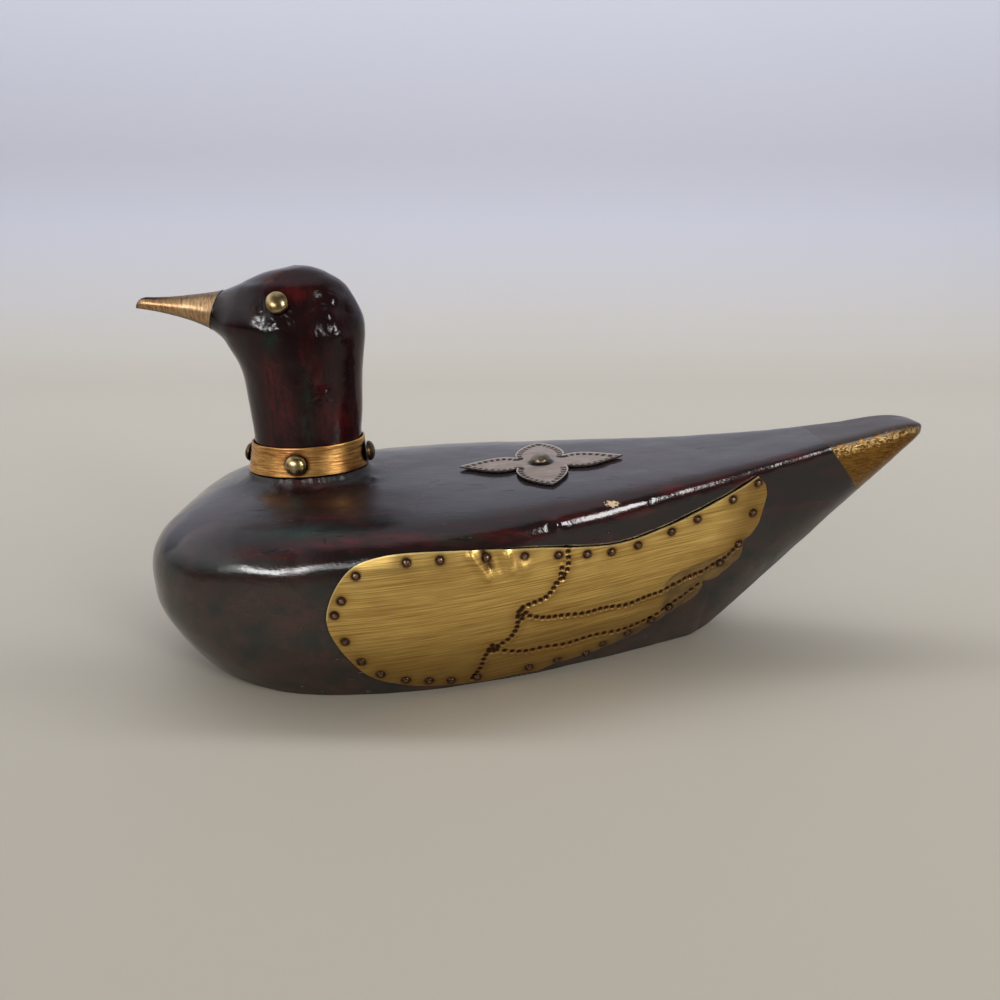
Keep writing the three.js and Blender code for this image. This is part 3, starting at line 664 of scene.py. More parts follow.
def body_lacquer():
    finish, tree, shader = new_finish("body_lacquer", IOR=1.5)
    share, dust = side_dust(tree)
    colour = mixed(tree, share, lacquer_colour(tree, (17, 75, 75), (1, 2, 0), LACQUER_BLACK), dust)
    colour = mixed(tree, back_dust_and_sheen(tree), colour, BACK_DUST_AND_SHEEN)
    nick = nick_marks(tree)
    colour = mixed(tree, nick, colour, NICK_TONE)
    gold, strokes = gold_colour(tree, (90, 1300, 1300), *GLINT_GOLD)
    gilt, bright, cap = tail_gilding(tree)
    colour = mixed(tree, cap, colour, CAP_TONE)
    dull = mixed(tree, span(tree, strokes, 0.3, 0.7), *DULL_GOLD)
    colour = mixed(tree, gilt, colour, mixed(tree, bright, dull, gold))
    chip = oval_mark(tree, CHIP_AT, CHIP_SIZE, 0, CHIP_TORN)
    gloss = sums(tree, "ADD", lacquer_gloss(tree), span(tree, cap, 0, 1, 0, CAP_ROUGH))
    gloss = sums(tree, "ADD", gloss, span(tree, painted(tree, "dull"), 0.1, 0.6, 0, DULL_ROUGH))
    gloss = sums(tree, "ADD", gloss, span(tree, chip, 0, 1, 0, CHIP_ROUGH))
    surface = lacquer_bump(tree, (60, 300, 300))
    surface = bump(tree, sums(tree, "MULTIPLY", strokes, gilt), STROKE_DEPTH, 0.5, surface)
    sunk = sums(tree, "ADD", nick, sums(tree, "MULTIPLY", chip, CHIP_DEEPER))
    surface = bump(tree, sums(tree, "MULTIPLY", sunk, -1.0), NICK_SUNK, 0.7, surface)
    feed(tree, shader, Base_Color=mixed(tree, chip, colour, BARE_WOOD), Metallic=gilt)
    feed(tree, shader, Roughness=gloss, Normal=surface)
    return finish


finished(body, body_lacquer(), "lacquered_wood", "body")
print("body finished")

# %% [markdown]
# ## Head and neck
# The head is a second carved block. Ten levels give its front, back and width, and smooth lines run through
# them. A grid is rolled round those lines, from the seat on the body to the crown, so that the collar and the
# eyes can be found on the same lines later.

# %% Head
COLLAR_HEIGHT = 13.6
HEAD_FRONT = np.array([
    [27, 0], [23.9, COLLAR_HEIGHT], [23.7, 28.6], [25.2, 46.6], [30.5, 59.5],
    [38.2, 68.3], [31.5, 81.5], [19.1, 85.6], [7.7, 89.7], [-4.7, 91.8],
])
HEAD_BACK = np.array([
    [27.4, 0], [26.7, COLLAR_HEIGHT], [28.7, 30], [30.8, 48], [32.9, 62],
    [32.1, 71], [26.5, 82.4], [19.3, 87.9], [12.3, 90.8], [4.7, 91.8],
])
HEAD_SHAPE = np.array([
    [20, 0], [18.5, 0], [19, 0], [20.5, 0.05], [22, 0.2],
    [21.5, 0.35], [17, 0.3], [12.5, 0.15], [7.5, 0], [0, 0],
])
HEAD_ROWS, HEAD_SIDES = 190, 180
HEAD_TURN = Matrix.Translation((SEAT_X * MM, 0, SEAT_Z * MM)) @ Matrix.Rotation(-SEAT_TILT, 4, "Y")
COLLAR_TOP = 1 / (len(HEAD_FRONT) - 1)


def spline(points, t, before=None, after=None):
    points = np.asarray(points, dtype=float)
    last = len(points) - 1
    ghosts = [points[0] if before is None else before], [points[-1] if after is None else after]
    padded = np.concatenate([ghosts[0], points, ghosts[1], ghosts[1]])
    place = np.clip(t, 0, 1) * last
    i = np.minimum(np.floor(place).astype(int), last)
    w = (place - i)[..., None]
    p0, p1, p2, p3 = padded[i], padded[i + 1], padded[i + 2], padded[np.minimum(i + 3, last + 3)]
    v0, v1 = (p2 - p0) / 2, (p3 - p1) / 2
    return (2 * p1 - 2 * p2 + v0 + v1) * w**3 + (3 * p2 - 3 * p1 - 2 * v0 - v1) * w**2 + v0 * w + p1


def head_point(t, turn):
    front, back, shape = spline(HEAD_FRONT, t), spline(HEAD_BACK, t), spline(HEAD_SHAPE, t)
    front = front * [-1, 1]
    share = np.cos(turn)
    place = lerp(front, back, ((1 + share) / 2)[..., None])
    narrowing = 1 - shape[..., 1] * np.maximum(0, -share) ** 2
    return np.stack([place[..., 0], shape[..., 0] * np.sin(turn) * narrowing, place[..., 1]], axis=-1)


def on_head(t, turn, lift):
    t, turn = np.asarray(t, dtype=float), np.asarray(turn, dtype=float)
    feel = 1e-3
    around = head_point(t, turn + feel) - head_point(t, turn - feel)
    up = head_point(np.clip(t + feel, 0, 1), turn) - head_point(np.clip(t - feel, 0, 1), turn)
    out = np.cross(around, up)
    out /= np.maximum(np.linalg.norm(out, axis=-1, keepdims=True), 1e-9)
    return head_point(t, turn) + lift * out, out


def seated_on_neck(points):
    turned = np.asarray(HEAD_TURN.to_3x3())
    return points * MM @ turned.T + np.asarray(HEAD_TURN.translation)


print("levels of the head", len(HEAD_FRONT))

# %% [markdown]
# The snout has to run into the bill without a step. Seen along the bill, its outline is drawn in to a cone
# that ends in the bill's circle, easing off over the last centimetre. The line where the gold paint starts is
# slanted, so the head is cut off there with a slanted plane.

# %% Snout
BILL_ROOT, BILL_ROOT_RADIUS = (-33.9, 0, 73.8), 8.2
BILL_RISE = math.radians(7.2)
BILL_AXIS = Vector((-math.cos(BILL_RISE), 0, math.sin(BILL_RISE)))
BILL_UP = Vector((0, 1, 0)).cross(BILL_AXIS)
BILL_BACK, PAINT_SLANT = 1.8, 0.24
SNOUT_RUN, SNOUT_SLOPE, SNOUT_REACH, SNOUT_EDGE = 13, 0.42, 24, 9


def ease(t):
    t = np.clip(t, 0, 1)
    return t * t * (3 - 2 * t)


def round_snout(spots):
    axis, up, root = np.array(BILL_AXIS), np.array(BILL_UP), np.array(BILL_ROOT)
    away = spots - root
    ahead, across, rise = away @ axis, away[:, 1], away @ up
    radius, past = np.hypot(across, rise), ahead + PAINT_SLANT * rise
    cone = BILL_ROOT_RADIUS + SNOUT_SLOPE * np.maximum(-past, 0)
    share = ease((past + SNOUT_RUN) / SNOUT_RUN) * ease((SNOUT_REACH - radius) / SNOUT_EDGE)
    size = lerp(1, cone / np.maximum(radius, 0.3), share)
    level = np.outer(across * size, [0, 1, 0])
    return root + np.outer(ahead, axis) + level + np.outer(rise * size, up)


def carve_head():
    piece, u, v = flat_grid("carved_head", HEAD_SIDES, HEAD_ROWS)
    set_points(piece, seated_on_neck(round_snout(head_point(v, u * 4 * QUARTER))))
    close_seams()
    edit()
    root = HEAD_TURN @ (Vector(BILL_ROOT) * MM)
    ahead = HEAD_TURN.to_3x3() @ (BILL_AXIS + PAINT_SLANT * BILL_UP).normalized()
    root -= ahead * BILL_BACK * MM
    bpy.ops.mesh.bisect(plane_co=root, plane_no=ahead, clear_outer=True, use_fill=True)
    leave_edit()
    return piece


head = carve_head()
print("head points", len(head.data.vertices))

# %% [markdown]
# The head gets the same uneven carving as the body. Dents round the eye and on the cheek, where the lacquer
# has crinkled, are pressed in one by one, because noise would spread them evenly. Red and green are rubbed
# through on the neck.

# %% Finish of the head
HEAD_WAVES = (22, 0.7), (7, 0.2)
HEAD_DENTS = [
    (-119, -18.8, 162.4, 3.0, -0.5), (-118.3, -20.7, 156.4, 3.4, -0.7), (-114, -20.9, 157.2, 2.4, 0.5),
    (-108, -20.4, 158, 3.0, -0.5), (-116, -21.6, 153.2, 3.0, -0.5), (-111.7, -21.9, 152.4, 2.8, 0.45),
    (-94.6, -14.5, 164, 3.6, -0.9), (-88.9, -10.8, 164.5, 3.4, 0.9), (-85, -10.3, 159.4, 3.2, -0.8),
    (-90.6, -15.9, 158.4, 3.8, 0.9), (-93.8, -18.3, 151.9, 3.2, -0.6), (-87.1, -14.7, 149.3, 3.0, 0.4),
    (-96.8, -18, 127.6, 3.2, -0.5), (-94.7, -17, 123.4, 2.8, 0.4), (-98.2, -17.9, 121.4, 2.8, -0.4),
]
NECK_RED = [
    (-116, -18, 118, 7, 8, 13), (-92, -14.5, 111, 7, 8, 10), (-118, -20, 132, 6, 8, 10),
    (-104, -18, 167, 8, 9, 4), (-108, 19, 122, 9, 9, 22),
]
NECK_GREEN = [
    (-104, -18.4, 110, 2.2, 8, 10), (-102, -18.8, 124, 2.2, 8, 9), (-116, -21.4, 149, 3.4, 8, 6),
    (-100, 18, 118, 3, 8, 14),
]

uneven(head, HEAD_WAVES)
press_dents(head, HEAD_DENTS)
stain(head, "red", NECK_RED)
stain(head, "green", NECK_GREEN)
smooth()
finished(head, HEAD_LACQUER, "lacquered_wood", "head")
print("dents on the head", len(HEAD_DENTS))

# %% [markdown]
# ## Bill
# The bill is a turned, hollow-sided cone. A circle is extruded ring by ring and each ring is scaled, as one
# would draw out clay. A cone primitive has straight sides, and these are hollow. The last rings droop into a
# small hook, where the gold has worn to a dark tip. The gold is also worn along the top, and the underside
# is darkened as painted shade.

# %% Bill
BILL_LENGTH, BILL_TIP_RADIUS, BILL_HOLLOW = 34.6, 2.6, 1.75
BILL_RINGS, BILL_SIDES, RING_CROWD, LEAST_RADIUS = 28, 40, 1.3, 0.05
HOOK_SHARE, SLANT_RUN, SLANT_MOST = 0.85, 12, 1.15
WEAR_FROM, TOP_FADE, UNDER_FADE, UNDER_SHADE = 0.6, 0.2, 0.3, 0.8
ROOT_WEAR, WEAR_AT, WEAR_RUN, TIP_AT, TIP_FADE = 0.55, 0.45, 0.35, 0.95, 0.03


def bill_side(share):
    return lerp(BILL_TIP_RADIUS, BILL_ROOT_RADIUS, (1 - share) ** BILL_HOLLOW)


def bill_radius(share):
    return bill_side(share) * corner((share - HOOK_SHARE) / (1 - HOOK_SHARE), 2)


def bill_drop(share):
    return bill_side(share) - bill_radius(share)


def bill_wear_and_shade(spots):
    share = np.clip(spots[:, 2] / BILL_LENGTH, 0, 1)
    rise = spots[:, 0] + bill_drop(share)
    crown = rise / np.maximum(np.hypot(rise, spots[:, 1]), 1e-6)
    top = growing(crown, WEAR_FROM, TOP_FADE) * lerp(ROOT_WEAR, 1, ease((share - WEAR_AT) / WEAR_RUN))
    # painted shade: the underside of the bill is darkened
    under = UNDER_SHADE * growing(-crown, WEAR_FROM, UNDER_FADE)
    return np.maximum.reduce([top, under, growing(share, TIP_AT, TIP_FADE)])


def draw_bill():
    start_alone()
    start = BILL_ROOT_RADIUS + SNOUT_SLOPE * BILL_BACK
    bpy.ops.mesh.primitive_circle_add(vertices=BILL_SIDES, radius=start * MM, fill_type="NGON")
    piece = called("pointed_bill")
    edit()
    bpy.ops.mesh.extrude_region_move(TRANSFORM_OT_translate={"value": (0, 0, BILL_BACK * MM)})
    bpy.ops.transform.resize(value=(BILL_ROOT_RADIUS / start, BILL_ROOT_RADIUS / start, 1))
    shares = 1 - (1 - np.linspace(0, 1, BILL_RINGS + 1)) ** RING_CROWD
    for before, share in zip(shares[:-1], shares[1:]):
        move = ((bill_drop(before) - bill_drop(share)) * MM, 0, (share - before) * BILL_LENGTH * MM)
        bpy.ops.mesh.extrude_region_move(TRANSFORM_OT_translate={"value": move})
        size = max(bill_radius(share), LEAST_RADIUS) / max(bill_radius(before), LEAST_RADIUS)
        bpy.ops.transform.resize(value=(size, size, 1))
    leave_edit()
    spots = points_of(piece) / MM - [0, 0, BILL_BACK]
    paint(piece, "wear_and_shade", bill_wear_and_shade(spots))
    spots[:, 2] -= PAINT_SLANT * spots[:, 0] * np.clip(1 - spots[:, 2] / SLANT_RUN, 0, SLANT_MOST)
    set_points(piece, spots * MM)
    aim = Vector((0, 0, 1)).rotation_difference(BILL_AXIS).to_matrix().to_4x4()
    piece.matrix_world = HEAD_TURN @ Matrix.Translation(Vector(BILL_ROOT) * MM) @ aim
    bpy.ops.object.transform_apply(location=True, rotation=True, scale=True)
    close_seams()
    return piece


bill = draw_bill()
smooth()
finished(bill, BILL_GOLD, "gold_paint", "bill")
print("bill points", len(bill.data.vertices))

# %% [markdown]
# ## Collar
# A strip of gilt sheet is nailed round the neck over the joint. It is a grid rolled once round the neck,
# which fits it closer than a cylinder would. Solidify gives it a thickness and Bevel soft edges. The band is
# painted darker in a ring round each tack.

# %% Collar
COLLAR_ROWS, COLLAR_SIDES, COLLAR_BEVEL = 18, 220, 0.25
DARK_RING_REACH, DARK_RING_FADE = 6.6, 1.6
COLLAR_TACK_TURNS = {"rear": 0, "right": 80, "front": 171, "left": -92}


def collar_tack_places(lift):
    turns = np.radians(list(COLLAR_TACK_TURNS.values()))
    return on_head(np.full(len(turns), COLLAR_TOP / 2), turns, lift)


def wrap_collar():
    piece, u, v = flat_grid("collar", COLLAR_SIDES, COLLAR_ROWS)
    spots, _ = on_head(v * COLLAR_TOP, u * 4 * QUARTER, SEAT_GAP)
    tacks, _ = collar_tack_places(SEAT_GAP)
    away = np.min(np.linalg.norm(spots[:, None] - tacks[None], axis=2), axis=1)
    set_points(piece, seated_on_neck(spots))
    # a darker ring painted round each tack
    paint(piece, "grime_and_shade", fading(away, DARK_RING_REACH, DARK_RING_FADE))
    close_seams()
    modify(piece, "SOLIDIFY", thickness=COLLAR_THICKNESS * MM, offset=1.0)
    modify(piece, "BEVEL", width=COLLAR_BEVEL * MM, segments=2, limit_method="ANGLE")
    return piece


collar = wrap_collar()
smooth()
finished(collar, COLLAR_GOLD, "gilt_band", "collar_band")
print("collar points", len(collar.data.vertices))

# %% [markdown]
# ## Dome tacks
# The eyes, the collar and the flower have the same dome-headed upholstery tack. One is made from a sphere:
# cut in half, flattened to a low dome and given an upright rim, which is painted dark. Copies are then set on
# their places in three brasses: the flower's tack is duller, and the two collar tacks seen from the side get
# a darker brass as painted shade.

# %% Dome tack
TACK_RADIUS, TACK_DOME, TACK_RIM, TACK_SIDES = 4.75, 3.0, 0.4, 40
RIM_DARK = 0.9, 0.6


def tack_brass(name, dark, light, roughness):
    finish, tree, shader = new_finish(name, Metallic=1.0, Roughness=roughness)
    worn = noise(tree, (260, 260, 260), detail=4)
    colour = mixed(tree, span(tree, worn, 0.35, 0.65), dark, light)
    colour = mixed(tree, painted(tree, "grime_and_shade"), colour, GRIME_AND_SHADE_TONE)
    feed(tree, shader, Base_Color=colour, Normal=bump(tree, worn, 0.0002, 0.25))
    return finish


def dome_tack():
    start_alone()
    sides = {"segments": TACK_SIDES, "ring_count": TACK_SIDES // 2}
    bpy.ops.mesh.primitive_uv_sphere_add(radius=TACK_RADIUS * MM, **sides)
    piece = called("dome_tack_pattern")
    edit()
    bpy.ops.mesh.bisect(plane_co=(0, 0, 0), plane_no=(0, 0, 1), clear_inner=True)
    bpy.ops.mesh.select_all(action="SELECT")
    flat = (TACK_DOME - TACK_RIM) / TACK_RADIUS
    bpy.ops.transform.resize(value=(1, 1, flat))
    bpy.ops.transform.translate(value=(0, 0, TACK_RIM * MM))
    bpy.ops.mesh.select_all(action="DESELECT")
    bpy.ops.mesh.select_mode(type="EDGE")
    bpy.ops.mesh.select_non_manifold()
    bpy.ops.mesh.extrude_region_move(TRANSFORM_OT_translate={"value": (0, 0, -TACK_RIM * MM)})
    bpy.ops.mesh.edge_face_add()
    leave_edit()
    close_seams()
    # the rim of the tack is painted dark
    paint(piece, "grime_and_shade", fading(points_of(piece)[:, 2] / MM, *RIM_DARK))
    smooth(35)
    return piece


def set_copy(pattern, name, spot, out):
    start_alone()
    piece = pattern.copy()
    piece.data = pattern.data.copy()
    piece.name = piece.data.name = name
    bpy.context.scene.collection.objects.link(piece)
    turn = Vector((0, 0, 1)).rotation_difference(Vector(out)).to_matrix().to_4x4()
    piece.matrix_world = Matrix.Translation(Vector(spot)) @ turn
    piece.select_set(True)
    bpy.context.view_layer.objects.active = piece
    bpy.ops.object.transform_apply(location=True, rotation=True, scale=True)
    return piece


def throw_away(pattern):
    bpy.data.objects.remove(pattern)


TACK_BRASS = tack_brass("tack_brass", rgb(118, 98, 64), rgb(186, 164, 122), 0.26)
DULL_BRASS = tack_brass("dull_brass", rgb(92, 80, 66), rgb(154, 141, 121), 0.36)
# a darker brass for the collar tacks seen from the side: painted shade
SHADED_BRASS = tack_brass("shaded_brass", rgb(62, 48, 36), rgb(112, 90, 62), 0.36)
tack = dome_tack()
print("tack pattern faces", len(tack.data.polygons))

# %% [markdown]
# An eye sits where a level line on the cheek meets the right height, found by halving. The other tacks sit on
# the middle of the collar and of the flower.

# %% Set the tacks
EYE_BACK, EYE_H, HALVINGS = 0.6, 76.9, 40
SHADED_TACKS = "rear", "front"
FLOWER_X, FLOWER_SHEET = 2, 0.7


def cheek_place(side):
    low, high = 0.0, 1.0
    for _ in range(HALVINGS):
        t = (low + high) / 2
        front, back = spline(HEAD_FRONT, np.array(t)) * [-1, 1], spline(HEAD_BACK, np.array(t))
        share = (EYE_BACK - front[0]) / (back[0] - front[0])
        if lerp(front[1], back[1], share) < EYE_H:
            low = t
        else:
            high = t
    return on_head(np.array(low), np.array(side * math.acos(2 * share - 1)), SEAT_GAP)


def set_neck_tack(name, spot, out, brass):
    out = HEAD_TURN.to_3x3() @ Vector(out)
    piece = set_copy(tack, name + "_dome", seated_on_neck(np.array(spot)), out)
    finished(piece, brass, "tack_brass", name)


for name, side in (("left_eye_tack", LEFT), ("right_eye_tack", RIGHT)):
    set_neck_tack(name, *cheek_place(side), TACK_BRASS)
for name, spot, out in zip(COLLAR_TACK_TURNS, *collar_tack_places(SEAT_GAP + COLLAR_THICKNESS)):
    # painted shade: the collar tacks seen from the side get the darker brass
    brass = SHADED_BRASS if name in SHADED_TACKS else TACK_BRASS
    set_neck_tack("collar_tack_" + name, spot, out, brass)
back_slope = float(back_height(np.array(FLOWER_X + 1.0)) - back_height(np.array(FLOWER_X - 1.0))) / 2
flower_up = Vector((-back_slope, 0, 1)).normalized()
flower_mid = Vector((FLOWER_X, 0, float(back_height(np.array(float(FLOWER_X))))))
spot = (flower_mid + flower_up * (SEAT_GAP + FLOWER_SHEET)) * MM
finished(set_copy(tack, "flower_tack_dome", spot, flower_up), DULL_BRASS, "tack_brass", "flower_tack")
throw_away(tack)
print("tacks set")

# %% [markdown]
# ## Sheet-brass wings
# Each wing is thin brass bent over the side of the body and pinned round its edge. A grid is laid between its
# lower and its upper edge, then dents, bulges and punched dots are pressed into it.

# %% Form of the wings
WING_FRONT, WING_TIP = [-88, 43.5], [101.4, 82.5]
WING_TOP = [[-79.5, 63], [-64, 70], [-36, 71.5], [-4, 70], [30, 67], [55, 72], [80, 81.5], [96.5, 90]]
WING_LOW = [[-81, 24], [-68, 10.5], [-42, 4], [-8, 3.8], [24, 5.8], [52, 18], [78, 38], [95.5, 63]]
UPPER_EDGE = [WING_FRONT, *WING_TOP, WING_TIP]
LOWER_EDGE = [WING_FRONT, *WING_LOW, WING_TIP]
TIP_CORNER = [96.3, 89.7]
FEATHER_ENDS = [
    [0.7, 4.3], [6.7, 6.4], [16, 7.6], [24.2, 8.8], [30.3, 11.2], [38.4, 13], [46.5, 15.2],
    [49.5, 17.1], [55.1, 20.7], [60.5, 23.8], [64.4, 26.1], [70, 28.9], [74.4, 33], [76.2, 37.3],
    [75.4, 40], [80.1, 39.9], [83.4, 40.9], [87.9, 44.8], [92.4, 48.8], [93.8, 53], [93.7, 57.7],
    [94, 60.1], [96.3, 61.8], [99.5, 67.2], [101, 76.4], [101.6, 81.1], [100.2, 86], TIP_CORNER,
]
WING_GAP, WING_SHEET = 0.6, 0.7
WING_STEPS, WING_ROWS = 210, 80


def on_side(side, x, z, lift):
    feel = 0.05
    along = body_reach(x + feel, z) - body_reach(x - feel, z)
    up = body_reach(x, z + feel) - body_reach(x, z - feel)
    out = np.stack([-along, np.full_like(along, 2 * feel), -up], axis=-1)
    out /= np.linalg.norm(out, axis=-1, keepdims=True)
    point = np.stack([x, body_reach(x, z), z], axis=-1) + out * np.asarray(lift)[..., None]
    return point * [1, side, 1], out * [1, side, 1]


def steps_along(path, shares):
    run = np.concatenate([[0], np.cumsum(np.linalg.norm(np.diff(path, axis=0), axis=1))])
    return np.stack([np.interp(shares * run[-1], run, path[:, i]) for i in (0, 1)], axis=1)


even_line = np.linspace(0, 1, 400)
UPPER_RIM = spline([WING_FRONT, *WING_TOP[:-1], TIP_CORNER], even_line, WING_LOW[0], [108, 96])
FRONT_RIM = spline([WING_FRONT, *WING_LOW[:4], FEATHER_ENDS[0]], even_line, WING_TOP[0], FEATHER_ENDS[1])
LOWER_RIM = np.concatenate([FRONT_RIM, FEATHER_ENDS[1:]])
print("wing length, mm", WING_TIP[0] - WING_FRONT[0])

# %% [markdown]
# Punched dots follow three lines: one S-shaped line from the upper to the lower edge, and two long feather
# lines that leave it towards the tail. They are given by a few places and stepped off evenly.

# %% Dots and pins
S_LINE = [[10.3, 66.5], [10.1, 59.2], [7.3, 53.9], [2.3, 47.9], [-4.5, 44.5], [-9.6, 41.3],
          [-10.8, 34], [-14.2, 27.3], [-21.1, 23.4], [-24.5, 19.3], [-26.4, 12.5], [-30.1, 5.9]]
UPPER_FEATHER = [[-8.3, 38.9], [0.9, 36.6], [12.5, 35.2], [26.2, 35.5], [39.8, 35.7], [53.5, 38.8],
                 [67.8, 43.7], [80.2, 48.4], [91.2, 56.4]]
LOWER_FEATHER = [[-19.3, 21.8], [-6.6, 18.8], [5.6, 18.8], [17.6, 19.3], [28.9, 20.6], [41.6, 20.7],
                 [55.4, 26], [66.5, 33.2], [73.4, 38.3]]
KNOTS = [[-10.2, 39.2], [-9.0, 42.0], [-7.0, 40.2], [-8.6, 37.3], [-20.6, 21.7], [-22.6, 23.1], [-18.8, 23.7],
         [-21.2, 25.1], [7.6, 57.0], [8.6, 54.8], [5.6, 52.8], [7.9, 59.6]]
DOT_STEPS, DOT_WANDER = (2.5, 2.9, 3.2), 0.3


def stepped(line, step):
    path = spline(line, even_line)
    length = np.linalg.norm(np.diff(path, axis=0), axis=1).sum()
    spots = steps_along(path, np.linspace(0, 1, int(length / step) + 1))
    order = np.arange(len(spots))
    return spots + DOT_WANDER * np.stack([np.sin(7.1 * order), np.cos(5.3 * order)], axis=1)


LINES = S_LINE, UPPER_FEATHER, LOWER_FEATHER
DOTS = np.concatenate([stepped(line, step) for line, step in zip(LINES, DOT_STEPS)] + [KNOTS])
print("punched dots on a wing", len(DOTS))

# %% [markdown]
# The pins were set by eye. Steps between them close up or open out with the length of the edge. The solids
# hold some of them; the pins in between are added here.

# %% Pin places
PIN_INSET = 3.2
TOP_PINS = (25, 10, [22, 13, 18, 15, 14, 12, 10, 11, 15, 12, 17, 14])
LOWER_PINS = (12, 11, [25, 22, 21, 23, 27, 34, 42, 28])
EXTRA_SPOTS = np.array([
    [-81.4, 52.1], [-84.6, 45.7], [-75.8, 22.1], [-58.3, 9.9], [-39.2, 6.6],
    [8, 9.2], [29.2, 13.6], [41, 17.2], [60.5, 27.8], [91, 57.5],
])


def edge_place(edge, share):
    t = np.linspace(0, 1, 201)
    path = spline(edge, t)
    run = np.concatenate([[0], np.cumsum(np.linalg.norm(np.diff(path, axis=0), axis=1))])
    at = np.interp(share * run[-1], run, t)
    ahead = spline(edge, at + 1e-4) - spline(edge, at - 1e-4)
    ahead /= np.linalg.norm(ahead, axis=-1, keepdims=True)
    inwards = np.stack([-ahead[:, 1], ahead[:, 0]], axis=1) * (1 if edge is LOWER_EDGE else -1)
    return spline(edge, at) + PIN_INSET * inwards, run[-1]


def pin_row(edge, row):
    front, rear, steps = row
    gone = np.concatenate([[0], np.cumsum(steps)])
    length = edge_place(edge, np.array([0.5]))[1]
    return edge_place(edge, lerp(front, length - rear, gone / gone[-1]) / length)[0]


TOP_SPOTS, LOWER_SPOTS = pin_row(UPPER_EDGE, TOP_PINS), pin_row(LOWER_EDGE, LOWER_PINS)
ALL_SPOTS = np.concatenate([TOP_SPOTS, LOWER_SPOTS, EXTRA_SPOTS])
print("pins on a wing", len(ALL_SPOTS))

# %% [markdown]
# Now the sheet itself. The flat grid is cut finer where dots will be punched, so that each stays round. Each
# mark is a soft hollow or bulge at its place on the flat pattern, and the same distances paint the grime in
# the dots and round the pins. The crease of the gouge is painted dark as painted shade, the upper cut edge
# gets a painted highlight, and painted shade darkens the sheet towards its lower edge; it is also darker
# towards the rear tip. The two lower feathers lie a little deeper than the blade above them and are duller,
# as on the worn original.

# %% Wing sheets
STROKES = [
    ((-24.8, 71.5), (-21.8, 63.5), 1.1, -1.2), ((-29.5, 69.5), (-22.9, 59), 1.5, 1.3),
    ((-14.9, 68.5), (-13.4, 61), 1.3, 1.3), ((-19, 68.5), (-17.5, 63), 2.0, -0.7),
]
BULGES = [
    (-8.5, 62.0, 3.6, 4.0, 1.3), (-34.0, 66.0, 6.0, 6.0, 0.4), (12.0, 12.8, 12.0, 3.6, 0.8),
    (32.0, 16.0, 8.0, 3.0, 0.6), (2.0, 28.0, 14.0, 4.2, 0.5), (34.0, 28.0, 16.0, 4.0, 0.5),
    (66.0, 40.0, 5.0, 3.0, 0.5), (84.0, 50.5, 4.5, 3.0, 0.6),
]
BLADE_LINE = [[55.9, 42.5], [59.3, 46.2], [63.4, 48.7], [76.4, 52.1], [86.6, 55.5], [94, 60.1]]
DOT_DEPTH, DOT_WIDTH, LIP_HEIGHT, LIP_AT, DOT_NEAR = 0.6, 0.95, 0.18, 1.7, 1.8
PIN_DISH, PIN_DISH_WIDTH, BLADE_STEP = 0.3, 3.0, 0.5
FLAP_WAVES, SHEET_WAVES, GOUGE_WIDTH = (0.4, 3.4), (0.15, 9.0), 1.3
BLADE_EDGE, BLADE_START = 0.9, (55, 4)
FLAP_DROP, FLAP_EDGE, FLAP_START, FLAP_SHARE = 1.4, 1.5, (28, 14), 0.8
DOT_GRIME, PIN_RING, PIN_RING_SHARE, EDGE_HIGHLIGHT_REACH = (1.32, 0.45), (2.7, 0.9), 0.8, (0.55, 0.3)
DOT_HAZE, PIN_HAZE = 3.4, 4.0
DARK_LOW, DARK_POWER, DARK_REAR, DARK_SHARE = (62, 58), 1.6, (78, 14), 0.8


def nearest(x, z, spots):
    best = np.full(len(x), 1e9)
    for spot in spots:
        best = np.minimum(best, np.hypot(x - spot[0], z - spot[1]))
    return best


def soft(distance, width):
    return np.exp(-((distance / width) ** 2))


def from_stroke(x, z, start, end):
    run = np.subtract(end, start)
    share = np.clip(((x - start[0]) * run[0] + (z - start[1]) * run[1]) / (run @ run), 0, 1)
    return np.hypot(x - start[0] - share * run[0], z - start[1] - share * run[1])


def wrinkle(x, z, size):
    a, b = x / size, z / size
    return (np.sin(2.1 * a + 1.3 * np.sin(1.7 * b)) + np.sin(1.4 * b - 2.3 * a + 0.8)
            + np.sin(3.3 * a + 1.1 * b + 2.0)) / 3


def feathers(x, z):
    blade = np.interp(x, *np.transpose(BLADE_LINE))
    under_blade = fading(z, blade, BLADE_EDGE) * growing(x, *BLADE_START)
    lower = np.interp(x, *np.transpose(LOWER_FEATHER)) - FLAP_DROP
    lowest = fading(z, lower, FLAP_EDGE) * growing(x, *FLAP_START)
    return under_blade, np.maximum(FLAP_SHARE * under_blade, lowest)


def on_pattern(u, v):
    flat = lerp(steps_along(LOWER_RIM, u), steps_along(UPPER_RIM, u), v[:, None])
    return flat[:, 0], flat[:, 1]


